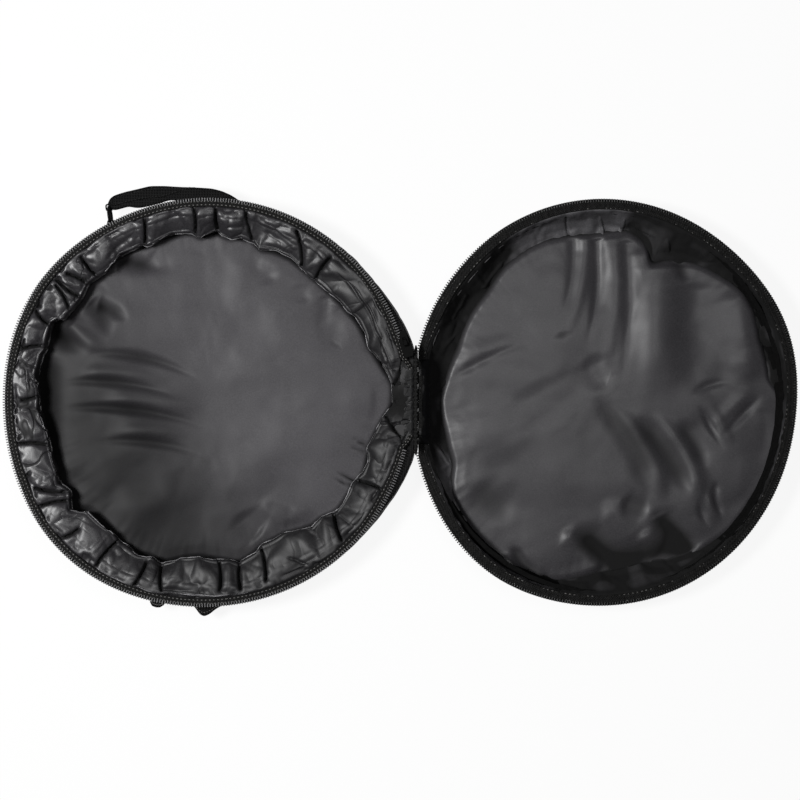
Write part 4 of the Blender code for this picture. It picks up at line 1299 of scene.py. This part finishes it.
def strap_loop(name, body, node, toward):
    """A short loop of tape round the ring, sewn together beside it."""
    start = np.array([-0.088934, 0.165861])
    axis = np.array([0.993128, 0.117033])
    away = np.array([-axis[1], axis[0]])
    near, far, half, slack = 0.0049, 0.0093, 0.0020, 0.0007
    turns = circle(24)[:, None]
    along = square_off(np.cos(turns), 0.6) * (half + slack)
    out = square_off(np.sin(turns), 0.6) * ((far - near) / 2 + slack)
    middle = start + toward * away * (near + far) / 2
    reach = toward * (axis * along + away * out)
    normal = reach / np.linalg.norm(reach, axis=-1, keepdims=True)
    sides = math.tau * (np.arange(8) + 0.5) / 8
    flat = (middle + reach)[:, None, :] + 0.0006 * normal[:, None, :] * np.cos(sides)[None, :, None]
    points = raised(flat, HANDLE_Z + 0.0026 * np.sin(sides))
    loop = grid(name, points, webbing, around=True, tube=True, uv_size=(0.016, 0.012))
    attach(loop, body, node)


def patch(name, node, angle):
    """A sewn patch of webbing on the wall, dented where its box of stitches runs."""
    u = np.linspace(-1, 1, 26)[:, None]
    v = np.linspace(-1, 1, 20)[None, :]
    ends = np.minimum(rise(1 - np.abs(u), 0, 0.12), rise(1 - np.abs(v), 0, 0.12)) ** 0.5
    dent = hump(np.maximum(np.abs(u), np.abs(v)), 0.78, 0.06)
    turn = angle + u * 0.008 / base.wall(angle)
    radius = base.wall(turn) + 0.0003 + 0.0011 * ends - 0.0003 * dent
    plate = grid(name, base.place(turn, radius, HANDLE_Z + 0.006 * v), webbing)
    solid(plate, 0.0003, 1.0)
    attach(plate, "base", node)


def tongue(name, node, pixels, thick):
    """A folded tab of webbing, sewn to the wall, whose outline was read off the photograph."""
    count = 40
    low, high = HANDLE_Z - thick / 2, HANDLE_Z + thick / 2
    tip = even_route(pixels, HANDLE_Z, count)
    turn = np.arctan2(tip[:, 1], tip[:, 0] - base.centre_x)
    root = base.place(turn, base.wall(turn) - 0.0022, 0.0)[:, :2]
    attach(slab(name, root, tip, low, high, 20), "base", node)
    route = root + (tip - root) * 0.8
    strap_stitches(name + "_stitches", "base", [route], range(2, count - 2, 3), high, 0.0014, thread)


handle()
strap_loop("handle_loop", "handle", "handle_end_loop", 1)
strap_loop("ring_loop", "base", "ring_tab_loop", -1)
patch("ring_patch_sewn", "ring_patch", math.radians(118.2))
patch("handle_patch_sewn", "handle_patch", math.radians(80.9))
tongue("strap_anchor", "strap_anchor_tab", ANCHOR_TIP, 0.0024)
tongue("strap_stub", "strap_loop_stub", STUB_TIP, 0.003)


# Floor, light and camera

WHITE = (1, 1, 1, 1)


def rays(tree, *kinds):
    """1 for light paths of two kinds and 0 for the others."""
    paths = [add(tree, "LightPath", {}, f"Is {kind} Ray") for kind in kinds]
    return maths(tree, "ADD", *paths, use_clamp=True)


def pale_floor():
    """A floor that looks evenly white to the camera and in the case's shine, and takes soft shadows."""
    material, tree, shader = nodes_of("pale_floor")
    shader.inputs["Base Color"].default_value = (0.93, 0.93, 0.93, 1)
    shader.inputs["Roughness"].default_value = 0.9
    glow = add(tree, "Emission", {"Color": WHITE, "Strength": 1.0})
    amount = maths(tree, "MULTIPLY", rays(tree, "Camera", "Glossy"), 0.9)
    mixed = add(tree, "MixShader", {0: amount, 1: shader.outputs["BSDF"], 2: glow})
    feed(tree, tree.nodes["Material Output"].inputs["Surface"], mixed)
    size = 6.0
    corners = np.array([(-size, -size, 0), (size, -size, 0), (size, size, 0), (-size, size, 0)])
    mesh_object("floor", corners, [(0, 1, 2, 3)], material)


def studio():
    """A world that is white to the camera and dim on the case."""
    world = bpy.data.worlds.new("studio")
    bpy.context.scene.world = world
    world.use_nodes = True
    tree = world.node_tree
    background = tree.nodes["Background"]
    feed(tree, background.inputs["Strength"], between(tree, rays(tree, "Camera", "Transmission"), 0.04, 1.0))
    background.inputs["Color"].default_value = WHITE


def lamp(name, place, size, power):
    """A round lamp that points at the middle of the case."""
    data = bpy.data.lights.new(name, "AREA")
    data.shape = "DISK"
    data.size = size
    data.energy = power
    thing = show(name, data)
    thing.location = place
    thing.rotation_euler = (Vector((0.17, 0.0, 0.02)) - Vector(place)).to_track_quat("-Z", "Y").to_euler()


def camera():
    """The photograph's camera."""
    data = bpy.data.cameras.new("photo_camera")
    data.lens = LENS
    data.sensor_width = SENSOR
    data.clip_end = 20.0
    thing = show("photo_camera", data)
    thing.location = (CENTRE_X, CENTRE_Y, CAMERA_Z)
    bpy.context.scene.camera = thing
    bpy.context.scene.view_settings.view_transform = "Standard"


pale_floor()
studio()
lamp("key_light", (-0.68, 0.07, 1.50), 0.40, 26.0)
lamp("fill_light", (0.45, 0.25, 1.60), 0.60, 5.0)
camera()
